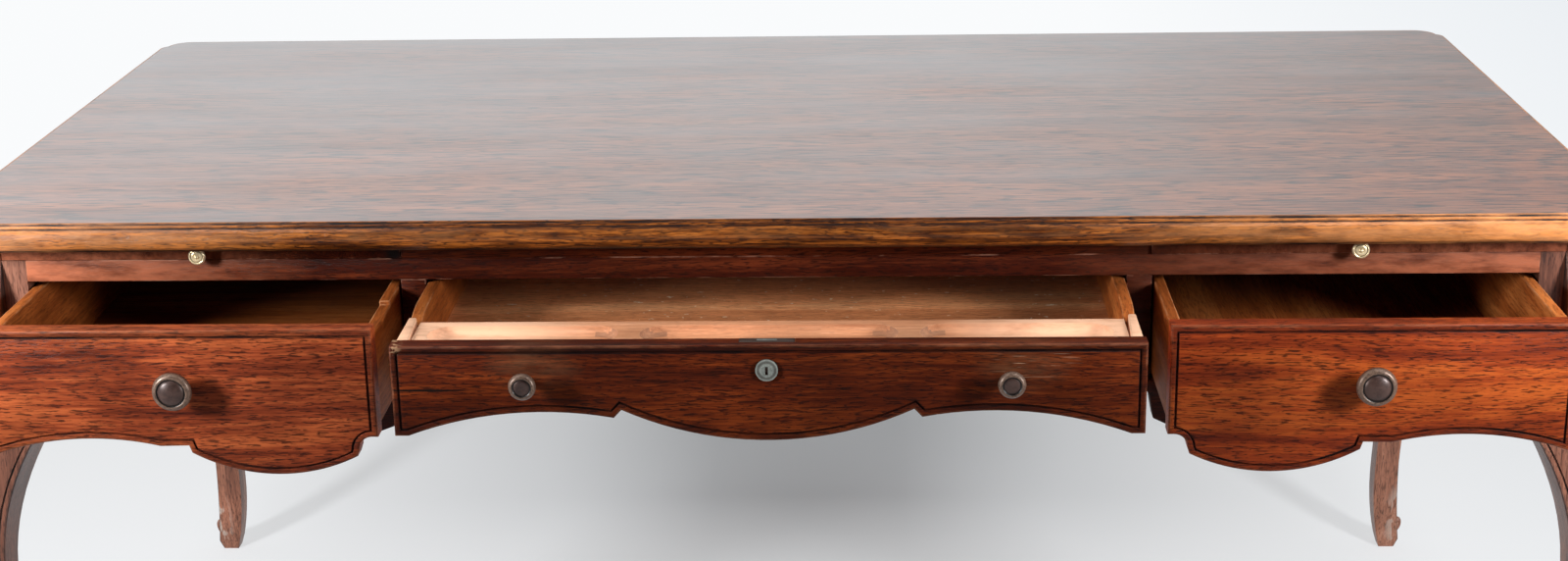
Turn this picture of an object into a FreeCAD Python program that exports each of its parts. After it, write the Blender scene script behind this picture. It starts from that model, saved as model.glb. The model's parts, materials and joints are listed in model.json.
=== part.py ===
import FreeCAD, Part
import Sketcher
import math
import os
import re

# Writing desk with three inset drawers, two writing slides and cabriole legs.
# X runs along the desk, Y from its front to its back, Z up from the floor, in millimetres.
# The drawers stand pulled out, as they do at rest. The origin is on the floor, in the middle
# of the room that the desk takes with its drawers out.

os.makedirs("parts", exist_ok=True)
doc = FreeCAD.newDocument("writing_desk")
sheet = doc.addObject("Spreadsheet::Sheet", "Sizes")

# Sizes that a designer sets, each by itself
sizes = {
    # top
    "top_len": 1800,          # flat field of the top, along the desk
    "top_wid": 900,           # flat field of the top, front to back
    "desk_high": 775,         # floor to the top's upper face
    "top_thick": 31,
    "mould_out": 12,          # how far the edge moulding stands out from the field
    "lobe_rad": 26,           # round lobe at each corner of the field
    "nick_deep": 8,           # crisp nick beside each lobe, in the end edges
    "nick_run": 14,           # length of the small shoulder beside the nick
    # carcass
    "top_over": 35,           # the top's field past the carcass, all round
    "slide_zone": 22,         # height between the front rail and the top, where the slides run
    "rail_high": 24,
    "rail_thick": 22,         # rails, aprons and centre filler, through the board
    "divider_wide": 27,
    "divider_mid": 392.5,     # middle of each divider from the desk's middle
    "divider_long": 98,
    "band_deep": 28,          # front apron left below the drawer fronts
    "partition_thick": 20,
    "partition_drop": 138,    # partition below the front rail's lower edge
    # legs
    "post_wide": 48,
    "arch_low": 525,          # where the leg's inner curve meets the aprons
    "knee_high": 500,
    "knee_out": 45.8,         # knee beyond the carcass, to the side and to the front alike
    "ankle_high": 125,
    "ankle_out": 13,
    "toe_high": 14,
    "toe_out": 22,
    "sole_out": 17,
    "sole_in": 5,
    "calf_high": 350,
    "calf_out": 2.2,
    "hock_high": 110,
    "hock_in": 21,
    "knee_edge": 22,          # inner edge of the knee, in from the carcass corner
    "knee_turn": 600,         # above this height the knee's inner edge runs straight up
    "arris": 4,               # flat worked along the leg's outer corner
    "roll_rad": 11.5,         # scroll roll of the foot
    "roll_half": 15,
    "roll_high": 33,
    "roll_out": 12,
    # drawer fronts
    "front_thick": 22,
    "front_gap": 1,
    "side_deep": 159,         # side front, top edge to belly
    "centre_deep": 102,       # centre front, top edge to belly
    "bead_wide": 6,           # bead round each drawer front
    "groove_wide": 2,
    "groove_deep": 2,
    "ear_in": 6.5,            # small square ear of a side front, beside the divider
    "ear_rad": 14,            # hollow between that ear and the belly
    "ear_lean": 2.4,
    # drawer boxes
    "side_pull": 162,         # how far the side drawers stand out at rest
    "centre_pull": 214,
    "box_long": 560,
    "wall_thick": 12,
    "wall_inset": 2,          # drawer wall in from the end of its front
    "centre_wall": 13,
    "centre_inset": 1,
    "wall_drop": 7,           # side drawers' walls below the front's top edge
    "centre_drop": 3,
    "side_box_deep": 112,     # front's top edge to the box's lower edge
    "centre_box_deep": 71,
    "bottom_thick": 8,
    "bottom_up": 5,           # bottom board above the walls' lower edge
    "housing": 4,             # depth of the groove that takes the bottom board
    "worn_deep": 5,           # worn step in the left drawer's inner wall
    "worn_long": 92,
    # pen tray and cheeks of the centre drawer
    "tray_wide": 76,
    "tray_thick": 31,
    "tray_drop": 8,
    "trough_wide": 52,
    "trough_deep": 10,
    "trough_mid_half": 132,
    "trough_from": 154,
    "trough_to": 350,
    "cheek_long": 83,
    "cheek_drop": 5,
    "cheek_high": 32,
    "cheek_taper": 5,
    "dip_long": 44,           # where the wall's top edge falls to the cheek
    "dip_deep": 10,
    # runners, bearers and slides
    "run_gap": 0.3,
    "runner_wide": 28,
    "runner_thick": 12,
    "guide_high": 55,
    "stop_long": 20,
    "stop_high": 15,
    "bearer_wide": 43,
    "slide_thick": 20.5,
    "slide_deep": 400,
    "slide_travel": 300,      # way out of a slide before its stop meets the front rail
    "peg_wide": 60,
    "peg_deep": 15,
    "peg_high": 13,
    "right_proud": 3,         # the right slide stands a little proud of the left one
    "block_side": 24,
    "block_high": 50,
    "block_drop": 2,
    # knobs
    "side_knob_rad": 20.5,
    "side_knob_out": 29,
    "centre_knob_rad": 14,
    "centre_knob_out": 24,
    "slide_knob_rad": 9.3,
    "slide_knob_out": 17,
    "slide_knob_low": 3,      # below the middle of the slide's edge
    "side_knob_drop": 59,
    "centre_knob_drop": 36,
    "centre_knob_off": 243,
    # lock
    "lock_drop": 26,          # lock's axis below the front's top edge
    "lock_wide": 56,
    "lock_thick": 12,
    "lock_low": 20,           # case below the lock's axis
    "nose_rad": 11.25,
    "nose_proud": 2.5,
    "plug_rad": 6,
    "plug_fit": 0.05,
    "plug_proud": 0.5,
    "plug_in": 3,             # plug's tail inside the case
    "key_wide": 2,
    "key_long": 8,
    "key_deep": 3,
    "bolt_wide": 20,
    "bolt_thick": 4,
    "bolt_high": 26,
    "bolt_fit": 0.3,
    "bolt_back": 4,           # bolt's middle plane from the front's back
    "bolt_throw": 8,
    "strike_thick": 1.5,
    "strike_rim": 7,
    "over": 60,               # overrun of every cutter
}

# Sizes that follow from them
worked = {
    "carcass_len": "top_len - 2 * top_over",
    "carcass_wid": "top_wid - 2 * top_over",
    "half_len": "carcass_len / 2",
    "half_wid": "carcass_wid / 2",
    "under_top": "desk_high - top_thick",
    "rail_top": "desk_high - top_thick - slide_zone",
    "rail_low": "desk_high - top_thick - slide_zone - rail_high",
    "clear_half": "carcass_len / 2 - post_wide",
    "clear_wid": "carcass_wid / 2 - post_wide",
    "front_back": "-carcass_wid / 2 + front_thick",
    "rail_back": "-carcass_wid / 2 + rail_thick",
    "apron_in": "carcass_len / 2 - rail_thick",
    "front_top": "desk_high - top_thick - slide_zone - rail_high - front_gap",
    "side_from": "divider_mid + divider_wide / 2 + front_gap",
    "side_to": "carcass_len / 2 - post_wide - front_gap",
    "side_wide": "carcass_len / 2 - post_wide - divider_mid - divider_wide / 2 - 2 * front_gap",
    "centre_half": "divider_mid - divider_wide / 2 - front_gap",
    "shoulder_rad": "(nick_deep ^ 2 + nick_run ^ 2) / (2 * nick_deep)",
    "divider_from": "divider_mid - divider_wide / 2",
    "slide_from": "divider_mid + divider_wide / 2 - 2 * front_gap",
    "part_in": "divider_mid - partition_thick / 2",
    "part_out": "divider_mid + partition_thick / 2",
    "shift_back": "(centre_pull + centre_knob_out + carcass_wid / 2 - top_wid / 2 - mould_out) / 2",
}

for row, (name, value) in enumerate(sizes.items(), 1):
    sheet.set(f"A{row}", str(value))
    sheet.setAlias(f"A{row}", name)
doc.recompute()
for row, (name, formula) in enumerate(worked.items(), 1):
    sheet.set(f"B{row}", "=" + formula)
    sheet.setAlias(f"B{row}", name)
    doc.recompute()

all_names = sorted(list(sizes) + list(worked), key=len, reverse=True)
name_pattern = re.compile(r"\b(" + "|".join(all_names) + r")\b")
vector = FreeCAD.Vector
along_x = vector(1, 0, 0)
along_y = vector(0, 1, 0)
along_z = vector(0, 0, 1)
front_plane = FreeCAD.Placement(vector(0, 0, 0), FreeCAD.Rotation(along_x, 90))
side_plane = FreeCAD.Placement(vector(0, 0, 0), FreeCAD.Rotation(vector(1, 1, 1), 120))
floor_plane = FreeCAD.Placement(vector(0, 0, 0), FreeCAD.Rotation(along_z, 0))
node_names = []


def number(formula):
    return float(sheet.evalExpression(formula))


def bind(thing, field, formula):
    thing.setExpression(field, name_pattern.sub(r"Sizes.\1", formula))


def put(thing, x="0", y="0", z="0"):
    bind(thing, "Placement.Base.x", x)
    bind(thing, "Placement.Base.y", y)
    bind(thing, "Placement.Base.z", z)
    return thing


# A piece of the desk: its label names its file, and it stands pulled out of the carcass
def piece(thing, label, pull="0", x="0", y="0", z="0"):
    thing.Label = label
    put(thing, x, f"({y}) + shift_back - ({pull})", z)
    node_names.append(thing.Name)
    return thing


def board(label, x, y, z, wide, deep, high, side=1, pull="0"):
    thing = box(label, x, y, z, wide, deep, high)
    return piece(thing, label, pull, x if side > 0 else f"-({x}) - ({wide})", y, z)


# Outlines: a start and steps of a line, an arc through a point, or a swing about a known height
def arc_through(start, middle, end):
    centre = Part.Circle(start, middle, end).Center
    turns_left = (middle.x - start.x) * (end.y - start.y) - (middle.y - start.y) * (end.x - start.x) > 0
    first, last = (start, end) if turns_left else (end, start)
    low = math.atan2(first.y - centre.y, first.x - centre.x)
    high = math.atan2(last.y - centre.y, last.x - centre.x)
    if high < low:
        high += 2 * math.pi
    circle = Part.Circle(centre, along_z, (start - centre).Length)
    return Part.ArcOfCircle(circle, low, high), turns_left


def middle_of_swing(start, end, centre_y):
    centre_x = (end.x ** 2 - start.x ** 2 + (end.y - centre_y) ** 2 - (start.y - centre_y) ** 2)
    centre_x /= 2 * (end.x - start.x)
    centre = vector(centre_x, centre_y, 0)
    chord_middle = (start + end) / 2 - centre
    return centre + chord_middle.normalize() * (start - centre).Length


def outline(label, plane, start, steps, closed=True):
    sketch = doc.addObject("Sketcher::SketchObject", label)
    here = start
    drawn = []

    def pin(kind, element, corner, formula):
        index = sketch.addConstraint(Sketcher.Constraint(kind, element, corner, number(formula)))
        bind(sketch, f"Constraints[{index}]", formula)

    for step in steps:
        kind, goal = step[0], step[1]
        begin = vector(number(here[0]), number(here[1]), 0)
        end = vector(number(goal[0]), number(goal[1]), 0)
        if kind == "line":
            element = sketch.addGeometry(Part.LineSegment(begin, end), False)
            corners = (1, 2)
        elif kind == "through":
            middle = vector(number(step[2][0]), number(step[2][1]), 0)
            arc, turns_left = arc_through(begin, middle, end)
            element = sketch.addGeometry(arc, False)
            corners = (1, 2) if turns_left else (2, 1)
            spot = sketch.addGeometry(Part.Point(middle), True)
            sketch.addConstraint(Sketcher.Constraint("PointOnObject", spot, 1, element))
            pin("DistanceX", spot, 1, step[2][0])
            pin("DistanceY", spot, 1, step[2][1])
        else:
            middle = middle_of_swing(begin, end, number(step[2]))
            arc, turns_left = arc_through(begin, middle, end)
            element = sketch.addGeometry(arc, False)
            corners = (1, 2) if turns_left else (2, 1)
            pin("DistanceY", element, 3, step[2])
        drawn.append((element, corners, goal))
        here = goal
    if not closed:
        pin("DistanceX", drawn[0][0], drawn[0][1][0], start[0])
        pin("DistanceY", drawn[0][0], drawn[0][1][0], start[1])
    for index, (element, corners, goal) in enumerate(drawn):
        pin("DistanceX", element, corners[1], goal[0])
        pin("DistanceY", element, corners[1], goal[1])
        if closed or index + 1 < len(drawn):
            following = drawn[(index + 1) % len(drawn)]
            sketch.addConstraint(Sketcher.Constraint("Coincident", element, corners[1],
                                                     following[0], following[1][0]))
    sketch.Placement = plane
    return sketch


def polygon(label, plane, corners):
    return outline(label, plane, corners[0], [("line", corner) for corner in corners[1:] + corners[:1]])


# Shares of a width and a depth become points, mirrored for the left-hand side
def point_from_shares(across_share, down_share, across, down, side=1, start_x="0", start_z="0"):
    across_formula = f"({start_x}) + {across_share} * ({across})"
    if side < 0:
        across_formula = f"-({across_formula})"
    return (across_formula, f"({start_z}) - {down_share} * ({down})")


# Rows of a table of shares become steps: each point goes through the given rule
def steps_from_shares(rows, at):
    return [(kind, *[at(*point) for point in points]) for kind, *points in rows]


# A line that runs in on one half goes back out on the other, with a belly between the two
def both_halves(first, second, belly):
    steps = first + [("through", second[-1][1], belly)]
    for index in range(len(second) - 1, 0, -1):
        kind, _, *middle = second[index]
        steps.append((kind, second[index - 1][1], *middle))
    return steps


# Solids
def box(label, x, y, z, wide, deep, high, side=1):
    thing = doc.addObject("Part::Box", label)
    bind(thing, "Length", wide)
    bind(thing, "Width", deep)
    bind(thing, "Height", high)
    put(thing, x if side > 0 else f"-({x}) - ({wide})", y, z)
    return thing


def prism(label, sketch, direction, long, back="0"):
    thing = doc.addObject("Part::Extrusion", label)
    thing.Base = sketch
    thing.DirMode = "Custom"
    thing.Dir = direction
    thing.Solid = True
    bind(thing, "LengthFwd", long)
    bind(thing, "LengthRev", back)
    return thing


def rod(label, direction, rad, long, x="0", y="0", z="0"):
    thing = doc.addObject("Part::Cylinder", label)
    bind(thing, "Radius", rad)
    bind(thing, "Height", long)
    thing.Placement = FreeCAD.Placement(vector(0, 0, 0), FreeCAD.Rotation(along_z, direction))
    put(thing, x, y, z)
    return thing


def joined(label, things):
    thing = doc.addObject("Part::MultiFuse", label)
    thing.Shapes = things
    return thing


def shared(label, base, tool):
    thing = doc.addObject("Part::Common", label)
    thing.Base = base
    thing.Tool = tool
    return thing


def less(label, base, tools):
    thing = doc.addObject("Part::Cut", label)
    thing.Base = base
    thing.Tool = tools[0] if len(tools) == 1 else joined(f"{label}_cuts", tools)
    return thing


def inward(label, sketch, distance):
    thing = doc.addObject("Part::Offset2D", label)
    thing.Source = sketch
    thing.Join = "Intersection"
    thing.Mode = "Pipe"
    bind(thing, "Value", distance)
    return thing


# Top: a flat panel inside a moulded edge that is swept round the lobed outline
def field_outline(label, closed_plane):
    half_x, half_y = "(top_len / 2)", "(top_wid / 2)"
    lobe_x, lobe_y = f"({half_x} - nick_deep - lobe_rad)", f"({half_y} - lobe_rad)"
    nick_x, shoulder_y = f"({half_x} - nick_deep)", f"({half_y} - lobe_rad - nick_run)"

    def corner(x_sign, y_sign, away_from_back):
        lobe_end = (f"{x_sign}*{lobe_x}", f"{y_sign}*{half_y}")
        nick = (f"{x_sign}*{nick_x}", f"{y_sign}*{lobe_y}")
        shoulder = (f"{x_sign}*{half_x}", f"{y_sign}*{shoulder_y}")
        if away_from_back:
            return [("line", lobe_end), ("swing", nick, nick[1]), ("swing", shoulder, shoulder[1])]
        return [("line", shoulder), ("swing", nick, shoulder[1]), ("swing", lobe_end, nick[1])]

    start = ("0", half_y)
    steps = corner("1", "1", True) + corner("1", "-1", False)
    steps += corner("-1", "-1", True) + corner("-1", "1", False) + [("line", start)]
    return outline(label, closed_plane, start, steps)


# Moulding: shares of how far it stands out and of the top's thickness, from its upper inner corner
moulding_shares = [
    (0, 0), (0.22, 0), (0.28, 0.10), (0.50, 0.12), (0.50, 0.20),
    (1, 0.48), (1, 0.80), (0.70, 0.93), (0.40, 1), (0, 1),
]


def moulding_profile(label, plane, edge):
    corners = [(f"{edge} + {out} * mould_out", f"top_thick - {down} * top_thick")
               for out, down in moulding_shares]
    return polygon(label, plane, corners)


def turned(label, sketch, angle):
    thing = doc.addObject("Part::Revolution", label)
    thing.Source = sketch
    thing.Axis = along_z
    thing.Solid = True
    bind(thing, "Angle", angle)
    return thing


def mirrored(label, source, normal):
    thing = doc.addObject("Part::Mirroring", label)
    thing.Source = source
    thing.Normal = normal
    return thing


def build_top():
    panel = prism("top_panel", field_outline("top_field", floor_plane), along_z, "top_thick")
    piece(panel, "top_panel", z="under_top")
    lobe = turned("moulding_lobe", moulding_profile("lobe_profile", front_plane, "lobe_rad"), "90")
    put(lobe, "top_len / 2 - nick_deep - lobe_rad", "top_wid / 2 - lobe_rad")
    shoulder_line = moulding_profile("shoulder_profile", front_plane, "shoulder_rad")
    shoulder = turned("moulding_shoulder", shoulder_line, "asin(nick_run / shoulder_rad)")
    put(shoulder, "top_len / 2 - shoulder_rad", "top_wid / 2 - lobe_rad - nick_run")
    corner = joined("moulding_corner", [lobe, shoulder])
    across = mirrored("moulding_corner_left", corner, along_x)
    pieces = [corner, across, mirrored("moulding_corner_front", corner, along_y),
              mirrored("moulding_corner_front_left", across, along_y)]
    back_reach, end_reach = "top_len / 2 - nick_deep - lobe_rad", "top_wid / 2 - lobe_rad - nick_run"
    back_line = moulding_profile("back_profile", side_plane, "top_wid / 2")
    end_line = moulding_profile("end_profile", front_plane, "top_len / 2")
    back = prism("moulding_back", back_line, along_x, back_reach, back_reach)
    end = prism("moulding_end", end_line, along_y, end_reach, end_reach)
    pieces += [back, mirrored("moulding_front", back, along_y)]
    pieces += [end, mirrored("moulding_left", end, along_x)]
    piece(joined("top_moulding", pieces), "top_moulding", z="under_top")


# Legs: the same side view seen from the front and from the end, with the post's flats cut back
# to the carcass and a scroll roll across the toe
def leg_outline(label, plane, top):
    knee = ("knee_out", "knee_high")
    ankle = ("ankle_out", "ankle_high")
    hock = ("-hock_in", "hock_high")
    calf = ("calf_out", "calf_high")
    shin_share, back_share = 0.718, 0.599
    shin = tuple(f"{a} + {shin_share} * ({b} - ({a}))" for a, b in zip(knee, ankle))
    hollow = tuple(f"{a} + {back_share} * ({b} - ({a}))" for a, b in zip(hock, calf))
    steps = [
        ("line", ("0", top)),
        ("swing", knee, "knee_high"),
        ("swing", shin, "knee_high"),
        ("swing", ankle, "ankle_high"),
        ("swing", ("toe_out", "toe_high"), "ankle_high"),
        ("line", ("sole_out", "0")),
        ("line", ("-sole_in", "0")),
        ("swing", hock, "hock_high"),
        ("swing", hollow, "hock_high"),
        ("swing", calf, "calf_high"),
        ("swing", ("-post_wide", "arch_low"), "calf_high"),
        ("line", ("-post_wide", top)),
    ]
    return outline(label, plane, ("-post_wide", top), steps)


def build_leg(label, top, turn, x_sign, y_sign):
    seen_front = prism(f"{label}_front_view", leg_outline(f"{label}_front_line", front_plane, top),
                       along_y, "over + knee_out", "over + post_wide")
    seen_side = prism(f"{label}_side_view", leg_outline(f"{label}_side_line", side_plane, top),
                      along_x, "over + knee_out", "over + post_wide")
    blank = shared(f"{label}_blank", seen_front, seen_side)
    cutters = []
    for view, plane, direction in (("front", front_plane, along_y), ("side", side_plane, along_x)):
        flat = outline(f"{label}_{view}_flat_line", plane, ("-post_wide", "arch_low"), [
            ("swing", ("-knee_edge", "knee_turn"), "knee_turn"),
            ("line", ("-knee_edge", "desk_high")),
            ("line", ("-post_wide - over", "desk_high")),
            ("line", ("-post_wide - over", "arch_low")),
            ("line", ("-post_wide", "arch_low")),
        ])
        cutters.append(prism(f"{label}_{view}_flat", flat, direction, "over + knee_out"))
    shaped = less(f"{label}_shaped", blank, cutters)
    doc.recompute()
    arris = doc.addObject("Part::Chamfer", f"{label}_arris")
    arris.Base = shaped
    size = number("arris")
    outer = []
    for index, edge in enumerate(shaped.Shape.Edges, 1):
        ends = [edge.valueAt(edge.FirstParameter), edge.valueAt(edge.LastParameter)]
        on_diagonal = all(abs(end.x - end.y) < size / 100 for end in ends)
        outside = all(end.x > -size / 100 for end in ends)
        steep = abs(ends[0].z - ends[1].z) > size
        if on_diagonal and outside and steep and min(ends[0].z, ends[1].z) > number("toe_high") - size:
            outer.append((index, size, size))
    arris.Edges = outer
    roll = rod(f"{label}_roll", vector(1, -1, 0), "roll_rad", "2 * roll_half",
               "roll_out - roll_half * sqrt(0.5)", "roll_out + roll_half * sqrt(0.5)", "roll_high")
    leg = joined(label, [arris, roll])
    leg.Placement = FreeCAD.Placement(vector(0, 0, 0), FreeCAD.Rotation(along_z, turn))
    piece(leg, label, x=f"{x_sign} * half_len", y=f"{y_sign} * half_wid")


# Lower line of the front and back aprons: shares of the span beside a divider or of the centre span,
# and of the apron's depth there, from the post inward
apron_side_shares = [
    ("through", (0.93, 0.848), (0.969, 0.875)),
    ("through", (0.569, 0.830), (0.755, 0.787)),
    ("line", (0.496, 0.830)),
    ("line", (0.489, 0.872)),
    ("through", (0.046, 0.878), (0.258, 1)),
    ("line", (0.037, 0.771)),
]
apron_centre_shares = [
    ("through", (0.9885, 0.954), (1.025, 0.999)),
    ("line", (0.917, 0.954)),
    ("through", (0.40, 0.809), (0.606, 0.763)),
    ("line", (0.38, 0.748)),
]
apron_belly_share = 1


def apron_line():
    centre_low = "(centre_deep + front_gap + band_deep)"
    side_low = "(side_deep + front_gap + band_deep)"

    def half(side):
        def at_side(across_share, down_share):
            return point_from_shares(across_share, down_share, "(clear_half - divider_mid)", side_low,
                                     side, "divider_mid", "rail_low")

        def at_centre(across_share, down_share):
            return point_from_shares(across_share, down_share, "divider_mid", centre_low,
                                     side, "0", "rail_low")

        steps = [("line", ("clear_half" if side > 0 else "-clear_half", "arch_low"))]
        steps += steps_from_shares(apron_side_shares, at_side)
        return steps + steps_from_shares(apron_centre_shares, at_centre)

    right = half(1)
    left = half(-1)
    belly = ("0", f"rail_low - {apron_belly_share} * {centre_low}")
    return both_halves(right, left, belly)


def apron(label, top):
    steps = apron_line() + [("line", ("-clear_half", top)), ("line", ("clear_half", top))]
    sketch = outline(f"{label}_line", front_plane, ("clear_half", top), steps)
    return prism(f"{label}_board", sketch, along_y, "rail_thick")


# Drawer front outlines, in shares of their own width and depth from the upper inner corner
side_front_shares = [
    ("line", (1, 0)),
    ("line", (1, 0.868)),
    ("through", (0.560, 0.802), (0.748, 0.748)),
    ("line", (0.487, 0.799)),
    ("line", (0.4805, 0.849)),
]
belly_end_share, belly_middle_shares, ear_share = 0.877, (0.232, 1), 0.742
centre_front_shares = [
    ("line", (1, 0.941)),
    ("line", (0.963, 0.941)),
    ("through", (0.41, 0.760), (0.63, 0.696)),
    ("line", (0.389, 0.676)),
]
centre_belly_share = 1


def side_front_outline(label, side):
    def at(across_share, down_share, past="0", below="0"):
        return point_from_shares(across_share, down_share, "side_wide", "side_deep", side,
                                 f"(side_from + {past})", f"(front_top - {below})")

    steps = steps_from_shares(side_front_shares, at) + [
        ("through", at(0, belly_end_share, "ear_in + ear_rad + ear_lean"), at(*belly_middle_shares)),
        ("line", at(0, ear_share, "ear_in + ear_rad", "ear_rad")),
        ("through", at(0, ear_share, "ear_in"), at(0, ear_share, "ear_in + ear_rad * cos(45)",
                                                   "ear_rad * (1 - sin(45))")),
        ("line", at(0, ear_share)),
        ("line", at(0, 0)),
    ]
    return outline(label, front_plane, at(0, 0), steps)


def centre_front_outline(label):
    def half(side):
        def at(across_share, down_share):
            return point_from_shares(across_share, down_share, "centre_half", "centre_deep",
                                     side, "0", "front_top")

        return steps_from_shares(centre_front_shares, at)

    right = half(1)
    left = half(-1)
    belly = ("0", f"front_top - {centre_belly_share} * centre_deep")
    corner_right, corner_left = ("centre_half", "front_top"), ("-centre_half", "front_top")
    steps = [("line", corner_right)] + both_halves(right, left, belly) + [("line", corner_left)]
    return outline(label, front_plane, corner_left, steps)


def drawer_line(name):
    if name == "centre":
        return centre_front_outline
    return lambda label: side_front_outline(label, 1 if name == "right" else -1)


def build_front_frame():
    rail = box("front_rail_board", "-clear_half", "-half_wid", "rail_low", "2 * clear_half",
               "rail_thick", "rail_high")
    middle = "(front_back - bolt_back)"
    plate = ("-bolt_wide / 2 - strike_rim", f"{middle} - bolt_thick", "rail_low",
             "bolt_wide + 2 * strike_rim", "2 * bolt_thick", "strike_thick")
    mortise = ("-bolt_wide / 2 - 2 * bolt_fit", f"{middle} - bolt_thick / 2 - 2 * bolt_fit", "rail_low",
               "bolt_wide + 4 * bolt_fit", "bolt_thick + 4 * bolt_fit", "bolt_throw + bolt_fit")
    cuts = [box("strike_seat", *plate), box("bolt_mortise", *mortise)]
    piece(less("front_rail", rail, cuts), "front_rail")
    piece(less("lock_strike", box("strike_plate", *plate), [box("strike_hole", *mortise)]), "lock_strike")
    board("centre_filler", "-slide_from", "-half_wid", "rail_top",
          "2 * slide_from", "rail_thick", "slide_zone")

    openings = []
    for name in ("left", "centre", "right"):
        wider = inward(f"{name}_opening_line", drawer_line(name)(f"{name}_opening_source"), "front_gap")
        openings.append(prism(f"{name}_opening", wider, along_y, "over", "over"))
    for side_name, side in sides:
        openings.append(box(f"divider_seat_{side_name}", "divider_from", "-over", "rail_low - divider_long",
                            "divider_wide", "2 * over", "divider_long", side))
        board(f"divider_{side_name}", "divider_from", "-half_wid", "rail_low - divider_long",
              "divider_wide", "rail_thick", "divider_long", side)
    front = less("front_apron", apron("front_apron", "rail_low"), openings)
    piece(front, "front_apron", y="-half_wid")


# Side aprons reach forward over the front posts, beside the slides
side_apron_shares = [
    ("through", (0.886, 0.886), (0.954, 0.927)),
    ("through", (0.409, 0.877), (0.654, 0.836)),
    ("line", (0.390, 0.840)),
]
side_belly_share = 0.968


def build_side_apron(side_name, side):
    def half(end):
        def at(along_share, down_share):
            return point_from_shares(along_share, down_share, "clear_wid", "(under_top - arch_low)",
                                     end, "0", "under_top")

        steps = [("line", ("clear_wid" if end > 0 else "-clear_wid", "arch_low"))]
        return steps + steps_from_shares(side_apron_shares, at)

    rear = half(1)
    front = half(-1)
    belly = ("0", f"under_top - {side_belly_share} * (under_top - arch_low)")
    steps = both_halves(rear, front, belly)
    steps += [("line", ("-clear_wid", "rail_top")), ("line", ("-half_wid", "rail_top")),
              ("line", ("-half_wid", "under_top")), ("line", ("clear_wid", "under_top"))]
    sketch = outline(f"side_apron_{side_name}_line", side_plane, ("clear_wid", "under_top"), steps)
    apron_board = prism(f"side_apron_{side_name}", sketch, along_x, "rail_thick")
    piece(apron_board, f"side_apron_{side_name}", x="apron_in" if side > 0 else "-half_len")


# Inside of the carcass: partitions, runners with their guides and stops, bearers and glue blocks
def build_inside():
    blocks = []
    for side_name, side in sides:
        board(f"partition_{side_name}", "part_in", "rail_back", "rail_low - partition_drop",
              "partition_thick", "half_wid - rail_thick - rail_back", "partition_drop", side)
        inner = [
            box(f"{side_name}_bearer_base", "part_in", "rail_back", "rail_low", "bearer_wide",
                "half_wid - rail_thick - rail_back", "rail_high", side),
            box(f"{side_name}_bearer_guide", "part_in", "rail_back", "rail_low", "slide_from - part_in",
                "half_wid - rail_thick - rail_back", "rail_high + slide_zone", side)]
        piece(joined(f"bearer_{side_name}_inner", inner), f"bearer_{side_name}_inner")
        board(f"bearer_{side_name}_outer", "apron_in - bearer_wide", "-clear_wid", "rail_low",
              "bearer_wide", "2 * clear_wid", "rail_high", side)
        for end_name, end in (("front", -1), ("rear", 1)):
            corners = [("apron_in", "clear_wid"), ("apron_in - block_side", "clear_wid"),
                       ("apron_in", "clear_wid - block_side")]
            signed = [(f"{side} * ({x})", f"{end} * ({y})") for x, y in corners]
            sketch = polygon(f"block_{side_name}_{end_name}_line", floor_plane, signed)
            block = prism(f"block_{side_name}_{end_name}", sketch, along_z, "block_high")
            blocks.append(block)
    group = doc.addObject("Part::Compound", "corner_blocks")
    group.Links = blocks
    piece(group, "corner_blocks", z="rail_low - block_high - block_drop")

    side_rest = "front_top - side_box_deep"
    centre_rest = "front_top - centre_box_deep"
    for side_name, side in sides:
        runner(f"runner_{side_name}_inner", "part_out", "side_from + wall_inset - run_gap - part_out",
               side_rest, side, "rail_back", "half_wid - rail_thick")
        runner(f"runner_{side_name}_outer", "apron_in", "-(apron_in - side_to + wall_inset - run_gap)",
               side_rest, side, "-clear_wid", "clear_wid")
        runner(f"runner_centre_{side_name}", "part_in", "-(part_in - centre_half + centre_inset - run_gap)",
               centre_rest, side, "rail_back", "half_wid - rail_thick")


# A runner lies against a wall at the given place, and its guide stands up beside the drawer
def runner(label, wall, guide_wide, rest, side, y_from, y_to):
    inward_sign = -1 if guide_wide.startswith("-") else 1
    guide = guide_wide.lstrip("-")
    base_wide = f"(({guide}) + runner_wide)"
    base_low = f"{wall} - {base_wide}" if inward_sign < 0 else wall
    guide_low = f"{wall} - ({guide})" if inward_sign < 0 else wall
    stop_low = base_low if inward_sign < 0 else f"{wall} + ({guide})"
    top = f"({rest} - run_gap)"
    long = f"({y_to}) - ({y_from})"
    parts = [
        box(f"{label}_base", base_low, y_from, f"{top} - runner_thick", base_wide, long,
            "runner_thick", side),
        box(f"{label}_guide", guide_low, y_from, f"{top} - runner_thick", guide, long,
            "runner_thick + guide_high", side),
        box(f"{label}_stop", stop_low, "front_back + box_long + run_gap", f"{top} - runner_thick",
            "runner_wide", "stop_long", "runner_thick + stop_high", side)]
    piece(joined(label, parts), label)


# Turned knobs: shares of the knob's reach and of its radius, from its foot to its face
drawer_knob_shares = [(0, 0), (0, 0.4), (0.5, 0.4), (0.5, 1), (1, 1), (1, 0)]
slide_knob_shares = [(0, 0), (0, 0.45), (0.4, 0.45), (0.4, 1), (1, 1), (1, 0)]


def knob(label, rad, reach, shares):
    corners = [(f"{out_share} * {rad}", f"-{along_share} * {reach}") for along_share, out_share in shares]
    thing = doc.addObject("Part::Revolution", label)
    thing.Source = polygon(f"{label}_line", floor_plane, corners)
    thing.Axis = along_y
    thing.Angle = 360
    thing.Solid = True
    return thing


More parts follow.
